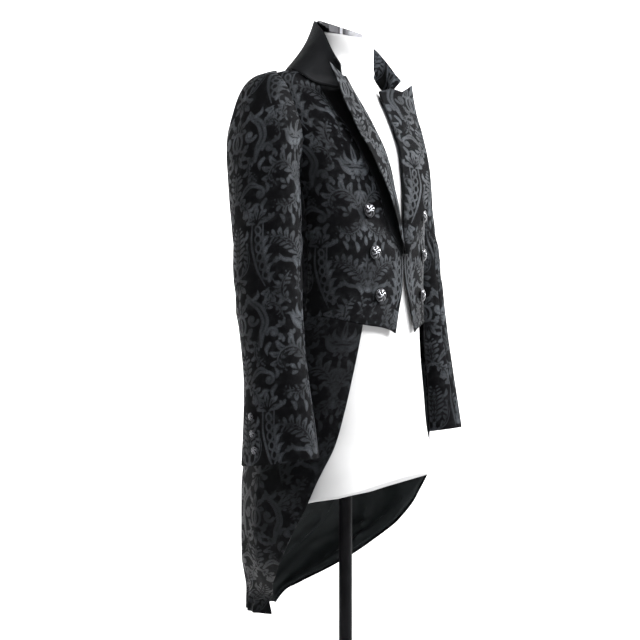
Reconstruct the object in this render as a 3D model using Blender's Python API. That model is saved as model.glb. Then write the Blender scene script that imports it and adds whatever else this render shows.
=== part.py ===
"""Brocade tailcoat with a raised collar and peaked lapels, on a limbless dress form with a round base.

Metres, +Z up. The coat faces -Y and the wearer's right is -X. The stand's base rests on z = 0.
Every piece of cloth is a thin wall with both faces and all edges, 0.6 mm apart from the next at the seams.
"""
import math

import bpy
import numpy as np

# Cloth
BROCADE = 0.0020
LAPEL_BROCADE = 0.0015
PLAIN_CLOTH = 0.0012
SEAM_GAP = 0.0006
LAY_GAP = 0.0004
LINING_GAP = 0.0008

# Coat, main heights and angles (angles run from the centre front, 0, to the centre back, 180)
BREAK_HEIGHT = 0.945
WAIST_BACK = 0.840
HEM_HEIGHT = 0.255
GORGE_HEIGHT = 1.250
SIDE_SEAM = 82.0
ARMHOLE_MIDDLE = 1.168
ARMHOLE_REACH = 0.094
ARMHOLE_FRONT = 12.0
ARMHOLE_BACK = 32.0
SLEEVE_LAP = 0.005
SLEEVE_LAP_ANGLE = 2.5
BACK_SEAM_TOP = 1.140

# Buttons
FRONT_BUTTON = 0.0245
CUFF_BUTTON = 0.0130

# Stand
FORM_BOTTOM = 0.500
FORM_BOTTOM_SLOPE = -0.20
FORM_SIDE_RISE = 0.015
FORM_DROP = 0.009
NECK_RADIUS = 0.0525
POLE_RADIUS = 0.0125
BASE_RADIUS = 0.180
BASE_HEIGHT = 0.010

SIDES = (("right", -1.0), ("left", 1.0))


def table(names, rows):
    """Turn rows of numbers into named columns."""
    columns = np.array(rows, dtype=float).T
    return dict(zip(names.split(), columns))


# Inside face of the coat, one row per level section
BODY = table("height half_width front back front_power back_power", [
    (0.255, 0.038, 0.138, 0.2235, 2.0, 2.0),
    (0.285, 0.045, 0.105, 0.2230, 2.0, 2.0),
    (0.300, 0.056, 0.060, 0.2220, 2.0, 2.0),
    (0.330, 0.094, -0.020, 0.2150, 2.1, 2.0),
    (0.376, 0.155, -0.088, 0.1980, 2.2, 2.0),
    (0.420, 0.195, -0.125, 0.1800, 2.5, 2.0),
    (0.470, 0.210, -0.138, 0.1710, 2.8, 2.0),
    (0.520, 0.211, -0.142, 0.1710, 3.1, 2.0),
    (0.600, 0.196, -0.141, 0.170, 2.5, 2.0),
    (0.690, 0.187, -0.137, 0.161, 2.3, 2.1),
    (0.780, 0.173, -0.133, 0.147, 2.2, 2.1),
    (0.840, 0.163, -0.130, 0.130, 2.3, 2.1),
    (0.890, 0.158, -0.128, 0.119, 2.4, 2.1),
    (0.950, 0.159, -0.1255, 0.118, 2.6, 2.1),
    (1.010, 0.164, -0.1205, 0.122, 2.9, 2.2),
    (1.070, 0.170, -0.1140, 0.127, 2.9, 2.3),
    (1.130, 0.177, -0.1025, 0.128, 2.7, 2.3),
    (1.180, 0.186, -0.0825, 0.122, 2.4, 2.2),
    (1.220, 0.192, -0.0625, 0.112, 2.0, 2.1),
    (1.245, 0.193, -0.0490, 0.104, 1.75, 2.0),
    (1.262, 0.184, -0.0430, 0.098, 1.65, 2.0),
    (1.275, 0.151, -0.0420, 0.094, 1.65, 2.0),
    (1.284, 0.118, -0.0420, 0.090, 1.75, 2.0),
    (1.292, 0.094, -0.0430, 0.088, 1.90, 2.0),
    (1.312, 0.078, -0.0440, 0.083, 2.0, 2.0),
])

# Soft folds of the tails: they start below the start height and reach their full depth at the hem
FOLDS = table("angle width depth start", [
    (99.0, 8.0, 0.0050, 0.66),
    (121.0, 8.0, 0.0060, 0.66),
    (144.0, 7.0, 0.0050, 0.74),
    (166.0, 8.0, 0.0045, 0.70),
])

# Space between the coat and the form
EASE = table("height front back", [
    (0.470, 0.016, 0.034),
    (0.520, 0.016, 0.031),
    (0.600, 0.010, 0.026),
    (0.690, 0.009, 0.018),
    (0.780, 0.008, 0.013),
    (0.840, 0.007, 0.009),
    (0.890, 0.006, 0.007),
    (0.950, 0.004, 0.005),
    (1.010, 0.003, 0.003),
    (1.070, 0.0020, 0.0020),
    (1.130, 0.0024, 0.0016),
    (1.180, 0.0025, 0.0018),
    (1.300, 0.0025, 0.0020),
])

# Front edge of the forepart, and the outer edge of the plain band under the lapel
FRONT_EDGE = table("height half_gap band", [
    (0.806, 0.0330, 0.0450),
    (0.840, 0.0230, 0.0370),
    (0.875, 0.0105, 0.0250),
    (0.910, 0.0030, 0.0150),
    (0.945, 0.0008, 0.0070),
    (0.967, 0.0010, 0.0270),
    (0.980, 0.0020, 0.0370),
    (1.005, 0.0060, 0.0500),
    (1.039, 0.0100, 0.0590),
    (1.077, 0.0160, 0.0770),
    (1.109, 0.0200, 0.0950),
    (1.144, 0.0280, 0.1060),
    (1.170, 0.0330, 0.1190),
    (1.203, 0.0380, 0.1260),
    (1.235, 0.0440, 0.1240),
    (1.252, 0.0475, 0.1200),
])

# Standing lapel: roll line half width, then the free edge in space
LAPEL = table("height roll edge_x edge_y edge_z", [
    (0.950, 0.0020, 0.0060, -0.1350, 0.950),
    (0.965, 0.0020, 0.0125, -0.1355, 0.965),
    (0.980, 0.0026, 0.0225, -0.1360, 0.980),
    (1.010, 0.0060, 0.0400, -0.1385, 1.010),
    (1.040, 0.0100, 0.0590, -0.1400, 1.040),
    (1.070, 0.0160, 0.0745, -0.1370, 1.070),
    (1.100, 0.0190, 0.0890, -0.1290, 1.100),
    (1.130, 0.0250, 0.1010, -0.1200, 1.130),
    (1.160, 0.0310, 0.1130, -0.1065, 1.160),
    (1.190, 0.0360, 0.1200, -0.0945, 1.190),
    (1.220, 0.0410, 0.1260, -0.0805, 1.222),
    (1.237, 0.0440, 0.1310, -0.0710, 1.252),
    (1.250, 0.0470, 0.1410, -0.0610, 1.282),
])

# Front edge of the cutaway skirt
CUTAWAY = table("height angle", [
    (0.255, 50.0),
    (0.270, 62.0),
    (0.285, 74.0),
    (0.300, 84.0),
    (0.330, 91.0),
    (0.376, 86.5),
    (0.420, 83.0),
    (0.455, 79.2),
    (0.490, 75.4),
    (0.520, 71.4),
    (0.542, 67.4),
    (0.563, 63.0),
    (0.591, 56.6),
    (0.647, 49.6),
    (0.671, 47.0),
    (0.737, 42.0),
    (0.793, 38.2),
    (0.823, 36.5),
])

# Seam between the back and the side body, and lower down between the back and the skirt
BACK_SEAM = table("height angle", [
    (0.255, 168.5),
    (0.300, 165.0),
    (0.380, 160.0),
    (0.500, 154.0),
    (0.680, 149.0),
    (0.840, 146.0),
    (0.950, 142.0),
    (1.030, 137.5),
    (1.090, 131.0),
    (1.120, 125.6),
    (1.140, 120.547),
])

# Waist seam and front hem, and the line of the neck
WAIST_SEAM = table("angle height", [
    (9.0, 0.806),
    (17.5, 0.817),
    (23.0, 0.819),
    (36.5, 0.824),
    (50.5, 0.831),
    (61.0, 0.836),
    (82.0, 0.839),
    (146.0, 0.840),
    (180.0, 0.840),
])
NECKLINE = table("angle height", [
    (14.0, 1.2490),
    (30.5, 1.2490),
    (44.8, 1.2545),
    (54.0, 1.2665),
    (72.5, 1.2790),
    (90.0, 1.2835),
    (120.0, 1.2870),
    (150.0, 1.2900),
    (180.0, 1.2910),
])

# Raised collar from the centre back to its front corner: seam on the body, then the top edge in space
COLLAR = table("step seam_angle seam_drop seam_lift top_x top_y top_z sag", [
    (0.00, 179.9, 0.004, 0.0053, 0.0003, 0.0585, 1.3950, 0.000),
    (0.15, 150.0, 0.004, 0.0053, 0.0310, 0.0490, 1.3920, 0.000),
    (0.30, 120.0, 0.004, 0.0053, 0.0530, 0.0290, 1.3800, 0.000),
    (0.45, 90.0, 0.004, 0.0051, 0.0710, 0.0070, 1.3660, 0.000),
    (0.60, 68.0, 0.004, 0.0051, 0.0840, -0.0120, 1.3500, 0.000),
    (0.75, 52.0, 0.003, 0.0060, 0.0950, -0.0310, 1.3250, 0.000),
    (0.88, 38.0, 0.002, 0.0064, 0.1010, -0.0460, 1.3040, 0.001),
    (1.00, 23.0, 0.000, 0.0064, 0.1040, -0.0590, 1.2870, 0.007),
])

# Sleeve sections: outer and inner side, middle, half depth, and how much the front is raised
SLEEVE = table("outer_x outer_z inner_x inner_z middle_y half_depth lift", [
    (0.2060, 1.2640, 0.1775, 1.0700, 0.0290, 0.0690, 0.00),
    (0.2240, 1.2580, 0.1780, 1.0670, 0.0280, 0.0710, 0.00),
    (0.2420, 1.2420, 0.1785, 1.0630, 0.0270, 0.0720, 0.00),
    (0.2560, 1.2120, 0.1790, 1.0560, 0.0255, 0.0720, 0.00),
    (0.2640, 1.1660, 0.1795, 1.0450, 0.0230, 0.0710, 0.00),
    (0.2670, 1.1100, 0.1800, 1.0280, 0.0190, 0.0700, 0.00),
    (0.2695, 1.0500, 0.1820, 1.0000, 0.0140, 0.0685, 0.00),
    (0.2755, 0.9850, 0.1885, 0.9600, 0.0045, 0.0660, 0.00),
    (0.2830, 0.9150, 0.1960, 0.9060, -0.0020, 0.0640, 0.00),
    (0.2865, 0.8600, 0.2000, 0.8550, -0.0085, 0.0610, 0.00),
    (0.2885, 0.8000, 0.2030, 0.7970, -0.0175, 0.0585, 0.00),
    (0.2895, 0.7350, 0.2050, 0.7340, -0.0265, 0.0590, 0.00),
    (0.2900, 0.6700, 0.2040, 0.6700, -0.0315, 0.0650, 0.06),
    (0.2920, 0.5960, 0.2030, 0.5960, -0.0350, 0.0730, 0.16),
])
SLEEVE_FRONT_SEAM = -102.0
SLEEVE_BACK_SEAM = 56.0

FRONT_BUTTONS = table("half_width height", [
    (0.0930, 1.024),
    (0.0825, 0.951),
    (0.0712, 0.875),
])
CUFF_BUTTONS = table("height around", [
    (0.674, 21.0),
    (0.646, 17.5),
    (0.619, 13.5),
])

# Profile of a domed button as parts of its diameter: radius and height above the cloth
BUTTON_PROFILE = table("radius height", [
    (0.16, 0.00),
    (0.16, 0.07),
    (0.46, 0.08),
    (0.50, 0.12),
    (0.46, 0.18),
    (0.36, 0.25),
    (0.18, 0.33),
])

COLOURS = {
    "brocade": (0.020, 0.021, 0.024, 1.0),
    "plain": (0.008, 0.008, 0.010, 1.0),
    "form": (0.86, 0.86, 0.86, 1.0),
    "metal": (0.60, 0.60, 0.62, 1.0),
    "button": (0.10, 0.10, 0.11, 1.0),
    "stand": (0.02, 0.02, 0.022, 1.0),
}


def smooth(xs, ys, x):
    """Read a table between its rows with a curve that never overshoots."""
    xs = np.asarray(xs, dtype=float)
    ys = np.asarray(ys, dtype=float)
    step = np.diff(xs)
    rise = np.diff(ys) / step
    slope = np.zeros_like(ys)
    slope[0] = rise[0]
    slope[-1] = rise[-1]
    both = rise[:-1] * rise[1:] > 0
    before = 2 * step[1:] + step[:-1]
    after = step[1:] + 2 * step[:-1]
    safe_first = np.where(both, rise[:-1], 1.0)
    safe_second = np.where(both, rise[1:], 1.0)
    mean = (before + after) / (before / safe_first + after / safe_second)
    slope[1:-1] = np.where(both, mean, 0.0)
    x = np.clip(np.asarray(x, dtype=float), xs[0], xs[-1])
    i = np.clip(np.searchsorted(xs, x) - 1, 0, len(xs) - 2)
    h = step[i]
    t = (x - xs[i]) / h
    start = (1 + 2 * t) * (1 - t) ** 2 * ys[i] + t * (1 - t) ** 2 * h * slope[i]
    end = t ** 2 * (3 - 2 * t) * ys[i + 1] + t ** 2 * (t - 1) * h * slope[i + 1]
    return start + end


def look_up(rows, key, name, at):
    """Value of a named column where the key column has the given value."""
    return smooth(rows[key], rows[name], at)


def bare_point(angle, height):
    """Point on the inside face of the coat, on the wearer's left."""
    width = look_up(BODY, "height", "half_width", height)
    front = look_up(BODY, "height", "front", height)
    back = look_up(BODY, "height", "back", height)
    middle = (front + back) / 2
    depth = (back - front) / 2
    turn = np.radians(angle)
    ahead = np.cos(turn)
    to_back = np.clip((np.asarray(angle) - 70.0) / 40.0, 0.0, 1.0)
    to_back = to_back * to_back * (3 - 2 * to_back)
    front_power = look_up(BODY, "height", "front_power", height)
    back_power = look_up(BODY, "height", "back_power", height)
    power = front_power * (1 - to_back) + back_power * to_back
    x = width * np.sign(np.sin(turn)) * np.abs(np.sin(turn)) ** (2 / power)
    y = middle - depth * np.sign(ahead) * np.abs(ahead) ** (2 / power)
    return np.stack([x, y, height + 0 * x], axis=-1)


def fold_depth(angle, height):
    """How far the soft folds of the tails stand out."""
    out = 0 * np.asarray(angle, dtype=float)
    for middle, width, depth, start in zip(*[FOLDS[k] for k in ("angle", "width", "depth", "start")]):
        grow = np.clip((start - height) / (start - HEM_HEIGHT), 0.0, 1.0)
        out = out + depth * grow * np.exp(-((angle - middle) / width) ** 2)
    return out


def body_point(angle, height, offset, folds=True):
    """Point moved out from the coat's inside face by the offset, on the wearer's left."""
    angle, height, offset = np.broadcast_arrays(np.asarray(angle, dtype=float), height, offset)
    along = bare_point(angle + 0.6, height) - bare_point(angle - 0.6, height)
    up = bare_point(angle, height + 0.0015) - bare_point(angle, height - 0.0015)
    normal = np.cross(along, up)
    normal /= np.linalg.norm(normal, axis=-1)[..., None]
    if folds:
        offset = offset + fold_depth(angle, height)
    return bare_point(angle, height) + normal * offset[..., None]


def angle_of(half_width, height):
    """Angle at which the front of the section is the given distance from the middle."""
    width = look_up(BODY, "height", "half_width", height)
    power = look_up(BODY, "height", "front_power", height)
    return np.degrees(np.arcsin(np.clip(half_width / width, 0, 1) ** (power / 2)))


def armhole_angle(height, front):
    """Edge of the armhole at a height, in front of or behind the side."""
    part = np.clip((height - ARMHOLE_MIDDLE) / ARMHOLE_REACH, -1.0, 1.0)
    out = np.sqrt(1 - part ** 2)
    return 90.0 - ARMHOLE_FRONT * out if front else 90.0 + ARMHOLE_BACK * out


def grid_normals(grid):
    """Normal at every point of a grid of rows and columns."""
    across = np.gradient(grid, axis=1)
    up = np.gradient(grid, axis=0)
    normal = np.cross(across, up)
    return normal / np.linalg.norm(normal, axis=-1)[..., None]


def pull_in(grid, amount, edges):
    """Move the named edges of a grid inwards by the amount."""
    grid = grid.copy()
    pairs = {
        "left": (np.s_[:, 0], np.s_[:, 1]),
        "right": (np.s_[:, -1], np.s_[:, -2]),
        "bottom": (np.s_[0, :], np.s_[1, :]),
        "top": (np.s_[-1, :], np.s_[-2, :]),
    }
    for edge in edges:
        here, beside = pairs[edge]
        step = grid[beside] - grid[here]
        grid[here] = grid[here] + amount * step / np.linalg.norm(step, axis=-1)[..., None]
    return grid


def mirrored(grid, side):
    """Grid of the wearer's left put on the asked side."""
    return grid * np.array([side, 1.0, 1.0])


def material_for(name, colour, metallic, roughness):
    """Own material of one object."""
    material = bpy.data.materials.new("mat_" + name)
    material.use_nodes = True
    shader = material.node_tree.nodes["Principled BSDF"]
    shader.inputs["Base Color"].default_value = COLOURS[colour]
    shader.inputs["Metallic"].default_value = metallic
    shader.inputs["Roughness"].default_value = roughness
    return material


def add_object(name, points, faces, colour, metallic=0.0, roughness=0.8, round_piece=True):
    """Make one closed object, turned outwards."""
    mesh = bpy.data.meshes.new(name)
    mesh.from_pydata([tuple(p) for p in points], [], faces)
    mesh.validate()
    volume = 0.0
    mesh.calc_loop_triangles()
    for triangle in mesh.loop_triangles:
        a, b, c = (mesh.vertices[i].co for i in triangle.vertices)
        volume += a.dot(b.cross(c))
    if volume < 0:
        mesh.flip_normals()
    for polygon in mesh.polygons:
        polygon.use_smooth = round_piece
    thing = bpy.data.objects.new(name, mesh)
    mesh.materials.append(material_for(name, colour, metallic, roughness))
    PARTS.objects.link(thing)
    return thing


def cloth_wall(name, inner, outer, colour):
    """Closed wall between two grids of the same size."""
    rows, columns = inner.shape[:2]
    count = rows * columns
    points = np.concatenate([inner.reshape(-1, 3), outer.reshape(-1, 3)])

    def at(row, column, layer):
        return layer * count + row * columns + column

    faces = []
    for row in range(rows - 1):
        for column in range(columns - 1):
            a, b = (row, column), (row, column + 1)
            c, d = (row + 1, column + 1), (row + 1, column)
            for corners in ((a, b, c), (a, c, d)):
                faces.append([at(*corner, 1) for corner in corners])
                faces.append([at(*corner, 0) for corner in reversed(corners)])
    rim = [(0, c) for c in range(columns)]
    rim += [(r, columns - 1) for r in range(1, rows)]
    rim += [(rows - 1, c) for c in range(columns - 2, -1, -1)]
    rim += [(r, 0) for r in range(rows - 2, 0, -1)]
    for here, after in zip(rim, rim[1:] + rim[:1]):
        faces.append([at(*here, 0), at(*after, 0), at(*after, 1), at(*here, 1)])
    return add_object(name, points, faces, colour, roughness=0.85)


def loft(name, rings, colour, metallic=0.0, roughness=0.6, round_piece=True):
    """Closed solid through rings of the same count, with flat ends."""
    count = len(rings[0])
    points = np.concatenate(rings)
    faces = []
    for level in range(len(rings) - 1):
        for i in range(count):
            j = (i + 1) % count
            a, b = level * count, (level + 1) * count
            faces.append([a + i, a + j, b + j, b + i])
    faces.append(list(range(count))[::-1])
    faces.append([(len(rings) - 1) * count + i for i in range(count)])
    return add_object(name, points, faces, colour, metallic, roughness, round_piece)


def circle(radius, height, count, centre=(0.0, 0.0), slope=0.0):
    """Ring of points, its height rising towards the back by the slope."""
    turn = np.linspace(0, 2 * np.pi, count, endpoint=False)
    x = centre[0] + radius * np.sin(turn)
    y = centre[1] - radius * np.cos(turn)
    return np.stack([x, y, height + slope * (y - centre[1])], axis=-1)


# Shared rows, so that neighbours meet point to point along their seams
TAIL_LEVELS = np.array([0.255, 0.285, 0.312, 0.342, 0.375, 0.412, 0.455, 0.505, 0.560, 0.620, 0.685, 0.755, 0.840])
BACK_LEVELS = np.array([0.840, 0.885, 0.935, 0.985, 1.030, 1.070, 1.105, 1.140])
BACK_TOP_LEVELS = np.array([1.160, 1.185, 1.210, 1.232, 1.248, 1.257, 1.2615, 1.266, 1.271, 1.277, 1.283])


def coat_grid(angles, heights, offset):
    """Grid of points of the coat for matching grids of angle and height."""
    return body_point(angles, heights, offset)


def back_edge_angle(height):
    """Outer edge of the back: seam, then armhole, then shoulder seam."""
    seam = look_up(BACK_SEAM, "height", "angle", np.minimum(height, BACK_SEAM_TOP))
    return np.where(height <= BACK_SEAM_TOP, seam, armhole_angle(height, False))


def back_angles_heights():
    """Angles and heights of the whole back, from the hem to the neck."""
    levels = np.concatenate([TAIL_LEVELS, BACK_LEVELS[1:], BACK_TOP_LEVELS])
    part = (levels - HEM_HEIGHT) / (levels[-1] - HEM_HEIGHT)
    across = np.linspace(0, 1, 7)
    edge = back_edge_angle(levels)
    angles = edge[:, None] + (179.99 - edge)[:, None] * across[None, :]
    rise = look_up(NECKLINE, "angle", "height", 90 + 90 * across) - levels[-1]
    lift = np.clip((part - 0.86) / 0.14, 0, 1) ** 2
    heights = levels[:, None] + lift[:, None] * rise[None, :]
    return angles, heights


def skirt_angles_heights():
    """Angles and heights of the cutaway skirt, from the hem to the waist seam."""
    across = np.linspace(0, 1, 11)
    part = (TAIL_LEVELS - HEM_HEIGHT) / (WAIST_BACK - HEM_HEIGHT)
    front_levels = HEM_HEIGHT + part * (0.823 - HEM_HEIGHT)
    front = look_up(CUTAWAY, "height", "angle", front_levels)
    back = look_up(BACK_SEAM, "height", "angle", TAIL_LEVELS)
    angles = front[:, None] + (back - front)[:, None] * across[None, :]
    waist = look_up(WAIST_SEAM, "angle", "height", angles[-1])
    heights = HEM_HEIGHT + part[:, None] * (waist[None, :] - HEM_HEIGHT)
    return angles, heights


def side_body_angles_heights():
    """Angles and heights of the side body, from the waist seam to the armhole."""
    across = np.linspace(0, 1, 6)
    part = (BACK_LEVELS - WAIST_BACK) / (BACK_SEAM_TOP - WAIST_BACK)
    back = look_up(BACK_SEAM, "height", "angle", BACK_LEVELS)
    angles = SIDE_SEAM + (back - SIDE_SEAM)[:, None] * across[None, :]
    reach = np.clip((angles[-1] - 90.0) / np.where(angles[-1] < 90, ARMHOLE_FRONT, ARMHOLE_BACK), -1.0, 1.0)
    top = ARMHOLE_MIDDLE - ARMHOLE_REACH * np.sqrt(1 - reach ** 2)
    bottom = look_up(WAIST_SEAM, "angle", "height", angles[0])
    heights = bottom[None, :] + part[:, None] * (top - bottom)[None, :]
    return angles, heights


def forepart_angles_heights():
    """Angles and heights of the forepart; the columns up to the band's edge come first."""
    low = look_up(WAIST_SEAM, "angle", "height", SIDE_SEAM)
    low_edge = ARMHOLE_MIDDLE - ARMHOLE_REACH * math.sqrt(1 - ((90 - SIDE_SEAM) / ARMHOLE_FRONT) ** 2)
    side_levels = list(np.linspace(low, low_edge, 8))
    side_levels += [1.103, 1.112, 1.124, 1.144, 1.168, 1.196, 1.220, 1.240, 1.252, 1.2590]
    side_levels += [1.2620, 1.2665, 1.2715, 1.2770, 1.2830]
    side_levels = np.array(side_levels)
    side = np.where(side_levels <= low_edge, SIDE_SEAM, armhole_angle(side_levels, True))
    lengths = np.linalg.norm(np.diff(body_point(side, side_levels, 0.0), axis=0), axis=1)
    part = np.concatenate([[0.0], np.cumsum(lengths)]) / lengths.sum()
    front_levels = 0.806 + (GORGE_HEIGHT - 0.806) * part ** 0.93
    front = angle_of(look_up(FRONT_EDGE, "height", "half_gap", front_levels), front_levels)
    band = angle_of(look_up(FRONT_EDGE, "height", "band", front_levels), front_levels)
    near = front[:, None] + (band - front)[:, None] * np.linspace(0, 1, BAND_COLUMNS)[None, :]
    far = band[:, None] + (side - band)[:, None] * np.linspace(0, 1, 9)[None, 1:]
    angles = np.concatenate([near, far], axis=1)
    share = (angles - front[:, None]) / (side - front)[:, None]
    heights = front_levels[:, None] + share * (side_levels - front_levels)[:, None]
    bottom = look_up(WAIST_SEAM, "angle", "height", angles[0])
    top = look_up(NECKLINE, "angle", "height", angles[-1])
    heights += ((1 - part) ** 3)[:, None] * (bottom - heights[0])[None, :]
    heights += (part ** 6)[:, None] * (top - heights[-1])[None, :]
    return angles, heights


BAND_COLUMNS = 4


def build_body():
    """Foreparts, side bodies, backs, skirts, tail linings and the plain bands under the lapels."""
    skirt_angles, skirt_heights = skirt_angles_heights()
    back_angles, back_heights = back_angles_heights()
    front_angles, front_heights = forepart_angles_heights()
    side_angles, side_heights = side_body_angles_heights()
    pieces = (
        ("forepart", front_angles, front_heights, ("left", "right", "bottom", "top")),
        ("side_body", side_angles, side_heights, ("left", "right", "bottom", "top")),
        ("back", back_angles, back_heights, ("left", "right", "top")),
        ("skirt", skirt_angles, skirt_heights, ("right", "top")),
    )
    for side_name, side in SIDES:
        for name, angles, heights, seams in pieces:
            inner = pull_in(coat_grid(angles, heights, 0.0), SEAM_GAP / 2, seams)
            outer = pull_in(coat_grid(angles, heights, BROCADE), SEAM_GAP / 2, seams)
            cloth_wall(f"{name}_{side_name}", mirrored(inner, side), mirrored(outer, side), "brocade")
        rows = len(TAIL_LEVELS) - 1
        angles = np.concatenate([skirt_angles[:rows], back_angles[:rows, 1:]], axis=1)
        heights = np.concatenate([skirt_heights[:rows], back_heights[:rows, 1:]], axis=1)
        outer = pull_in(coat_grid(angles, heights, -LINING_GAP), 0.002, ("left", "bottom"))
        inner = pull_in(coat_grid(angles, heights, -LINING_GAP - PLAIN_CLOTH), 0.002, ("left", "bottom"))
        outer = pull_in(outer, SEAM_GAP / 2, ("right",))
        inner = pull_in(inner, SEAM_GAP / 2, ("right",))
        cloth_wall(f"tail_lining_{side_name}", mirrored(inner, side), mirrored(outer, side), "plain")
        first = int(np.searchsorted(front_heights[:, 0], BREAK_HEIGHT)) - 1
        angles = front_angles[first:, :BAND_COLUMNS].copy()
        heights = front_heights[first:, :BAND_COLUMNS].copy()
        part = (BREAK_HEIGHT - heights[0, 0]) / (heights[1, 0] - heights[0, 0])
        angles[0] += part * (angles[1] - angles[0])
        heights[0] += part * (heights[1] - heights[0])
        inner = coat_grid(angles, heights, BROCADE + LAY_GAP)
        outer = coat_grid(angles, heights, BROCADE + LAY_GAP + PLAIN_CLOTH)
        inner = pull_in(inner, 0.0015, ("left", "top"))
        outer = pull_in(outer, 0.0015, ("left", "top"))
        cloth_wall(f"lapel_band_{side_name}", mirrored(inner, side), mirrored(outer, side), "plain")


def build_lapels():
    """Peaked lapels standing off the chest from the roll line."""
    across = np.linspace(0, 1, 7)
    roll_angle = angle_of(LAPEL["roll"], LAPEL["height"])
    start = BROCADE + 2 * LAY_GAP + PLAIN_CLOTH
    roll = body_point(roll_angle, LAPEL["height"], start)
    edge = np.stack([LAPEL["edge_x"], LAPEL["edge_y"], LAPEL["edge_z"]], axis=-1)
    grid = roll[:, None, :] + (edge - roll)[:, None, :] * across[None, :, None]
    width = np.linalg.norm(edge - roll, axis=-1)
    bow = 0.06 * width[:, None] * np.sin(np.pi * across)[None, :]
    normal = grid_normals(grid)
    inner = grid + normal * bow[..., None]
    outer = inner + normal * LAPEL_BROCADE
    for side_name, side in SIDES:
        cloth_wall(f"lapel_{side_name}", mirrored(inner, side), mirrored(outer, side), "brocade")


def build_collar():
    """Raised collar: plain outer face and brocade inner face, each in one piece round the neck."""
    steps = np.linspace(0, 1, 15)
    seam_angle = look_up(COLLAR, "step", "seam_angle", steps)
    drop = look_up(COLLAR, "step", "seam_drop", steps)
    seam_height = look_up(NECKLINE, "angle", "height", seam_angle) - drop
    top = np.stack([look_up(COLLAR, "step", name, steps) for name in ("top_x", "top_y", "top_z")], axis=-1)
    seam = body_point(seam_angle, seam_height, look_up(COLLAR, "step", "seam_lift", steps))
    rise = np.linspace(0, 1, 6)
    half = seam[None, :, :] + (top - seam)[None, :, :] * rise[:, None, None]
    outward = half - np.array([0.0, 0.02, 0.0])
    outward[..., 2] = 0.0
    outward /= np.linalg.norm(outward, axis=-1)[..., None]
    half = half - outward * (0.005 * np.sin(np.pi * rise))[:, None, None]
    half[..., 2] -= np.sin(np.pi * rise)[:, None] * look_up(COLLAR, "step", "sag", steps)[None, :]
    other = half[:, ::-1] * np.array([-1.0, 1.0, 1.0])
    whole = np.concatenate([other[:, :-1], half], axis=1)
    whole[:, len(steps) - 1, 0] = 0.0
    normal = grid_normals(whole)
    middle = len(steps) - 1
    if normal[0, middle] @ np.array([0.0, 1.0, 0.0]) < 0:
        normal = -normal
    under_inner = whole + normal * LAY_GAP / 2
    under_outer = whole + normal * (LAY_GAP / 2 + PLAIN_CLOTH)
    cloth_wall("collar_under", under_inner, under_outer, "plain")
    top_outer = whole - normal * LAY_GAP / 2
    top_inner = whole - normal * (LAY_GAP / 2 + LAPEL_BROCADE)
    cloth_wall("collar_top", top_inner, top_outer, "brocade")


def sleeve_head(around, offset):
    """Line of the sleeve's top edge, lapping over the edge of the armhole."""
    turn = np.radians(around)
    reach = np.where(np.sin(turn) < 0, ARMHOLE_FRONT, ARMHOLE_BACK) + SLEEVE_LAP_ANGLE
    angle = 90.0 + reach * np.sin(turn)
    height = ARMHOLE_MIDDLE + (ARMHOLE_REACH + SLEEVE_LAP) * np.cos(turn)
    return body_point(angle, height, offset, folds=False)


def sleeve_grid(around):
    """Inside face of the sleeve for the given angles (0 outer side, 90 back, -90 front)."""
    turn = np.radians(around)
    rows = [sleeve_head(around, BROCADE + 0.0024)]
    for i in range(len(SLEEVE["outer_x"])):
        row = {name: column[i] for name, column in SLEEVE.items()}
        high = np.array([row["outer_x"], row["middle_y"], row["outer_z"]])
        low = np.array([row["inner_x"], row["middle_y"], row["inner_z"]])
        centre = (high + low) / 2
        arm = (high - low) / 2
        line = centre + np.cos(turn)[:, None] * arm
        line[:, 1] += row["half_depth"] * np.sin(turn)
        line[:, 2] -= row["lift"] * row["half_depth"] * np.sin(turn)
        rows.append(line)
    grid = np.stack(rows)
    return grid


def build_sleeves():
    """Two-piece sleeves, open at both ends."""
    front, back = SLEEVE_FRONT_SEAM, SLEEVE_BACK_SEAM
    ring = np.concatenate([np.linspace(front, back, 12), np.linspace(back, front + 360.0, 13)[1:]])
    whole = sleeve_grid(ring)
    wrapped = np.concatenate([whole[:, -2:-1], whole, whole[:, 1:2]], axis=1)
    normal = grid_normals(wrapped)[:, 1:-1]
    centre = whole[8].mean(axis=0)
    if ((whole[8] - centre) * normal[8]).sum() < 0:
        normal = -normal
    outer_face = whole + normal * BROCADE
    for side_name, side in SIDES:
        for name, columns in (("sleeve_top", slice(0, 12)), ("sleeve_under", slice(11, 24))):
            inner = pull_in(whole[:, columns], SEAM_GAP / 2, ("left", "right"))
            outer = pull_in(outer_face[:, columns], SEAM_GAP / 2, ("left", "right"))
            cloth_wall(f"{name}_{side_name}", mirrored(inner, side), mirrored(outer, side), "brocade")


def button(name, base, normal, diameter, count):
    """Domed button on a short shank, turned to the cloth's normal."""
    normal = normal / np.linalg.norm(normal)
    first = np.cross(normal, [0.0, 0.0, 1.0])
    first /= np.linalg.norm(first)
    second = np.cross(normal, first)
    turn = np.linspace(0, 2 * np.pi, count, endpoint=False)
    rings = []
    for radius, height in zip(BUTTON_PROFILE["radius"], BUTTON_PROFILE["height"]):
        ring = base + normal * height * diameter
        ring = ring + radius * diameter * (np.cos(turn)[:, None] * first + np.sin(turn)[:, None] * second)
        rings.append(ring)
    loft(name, rings, "button", 0.9, 0.25)


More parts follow.
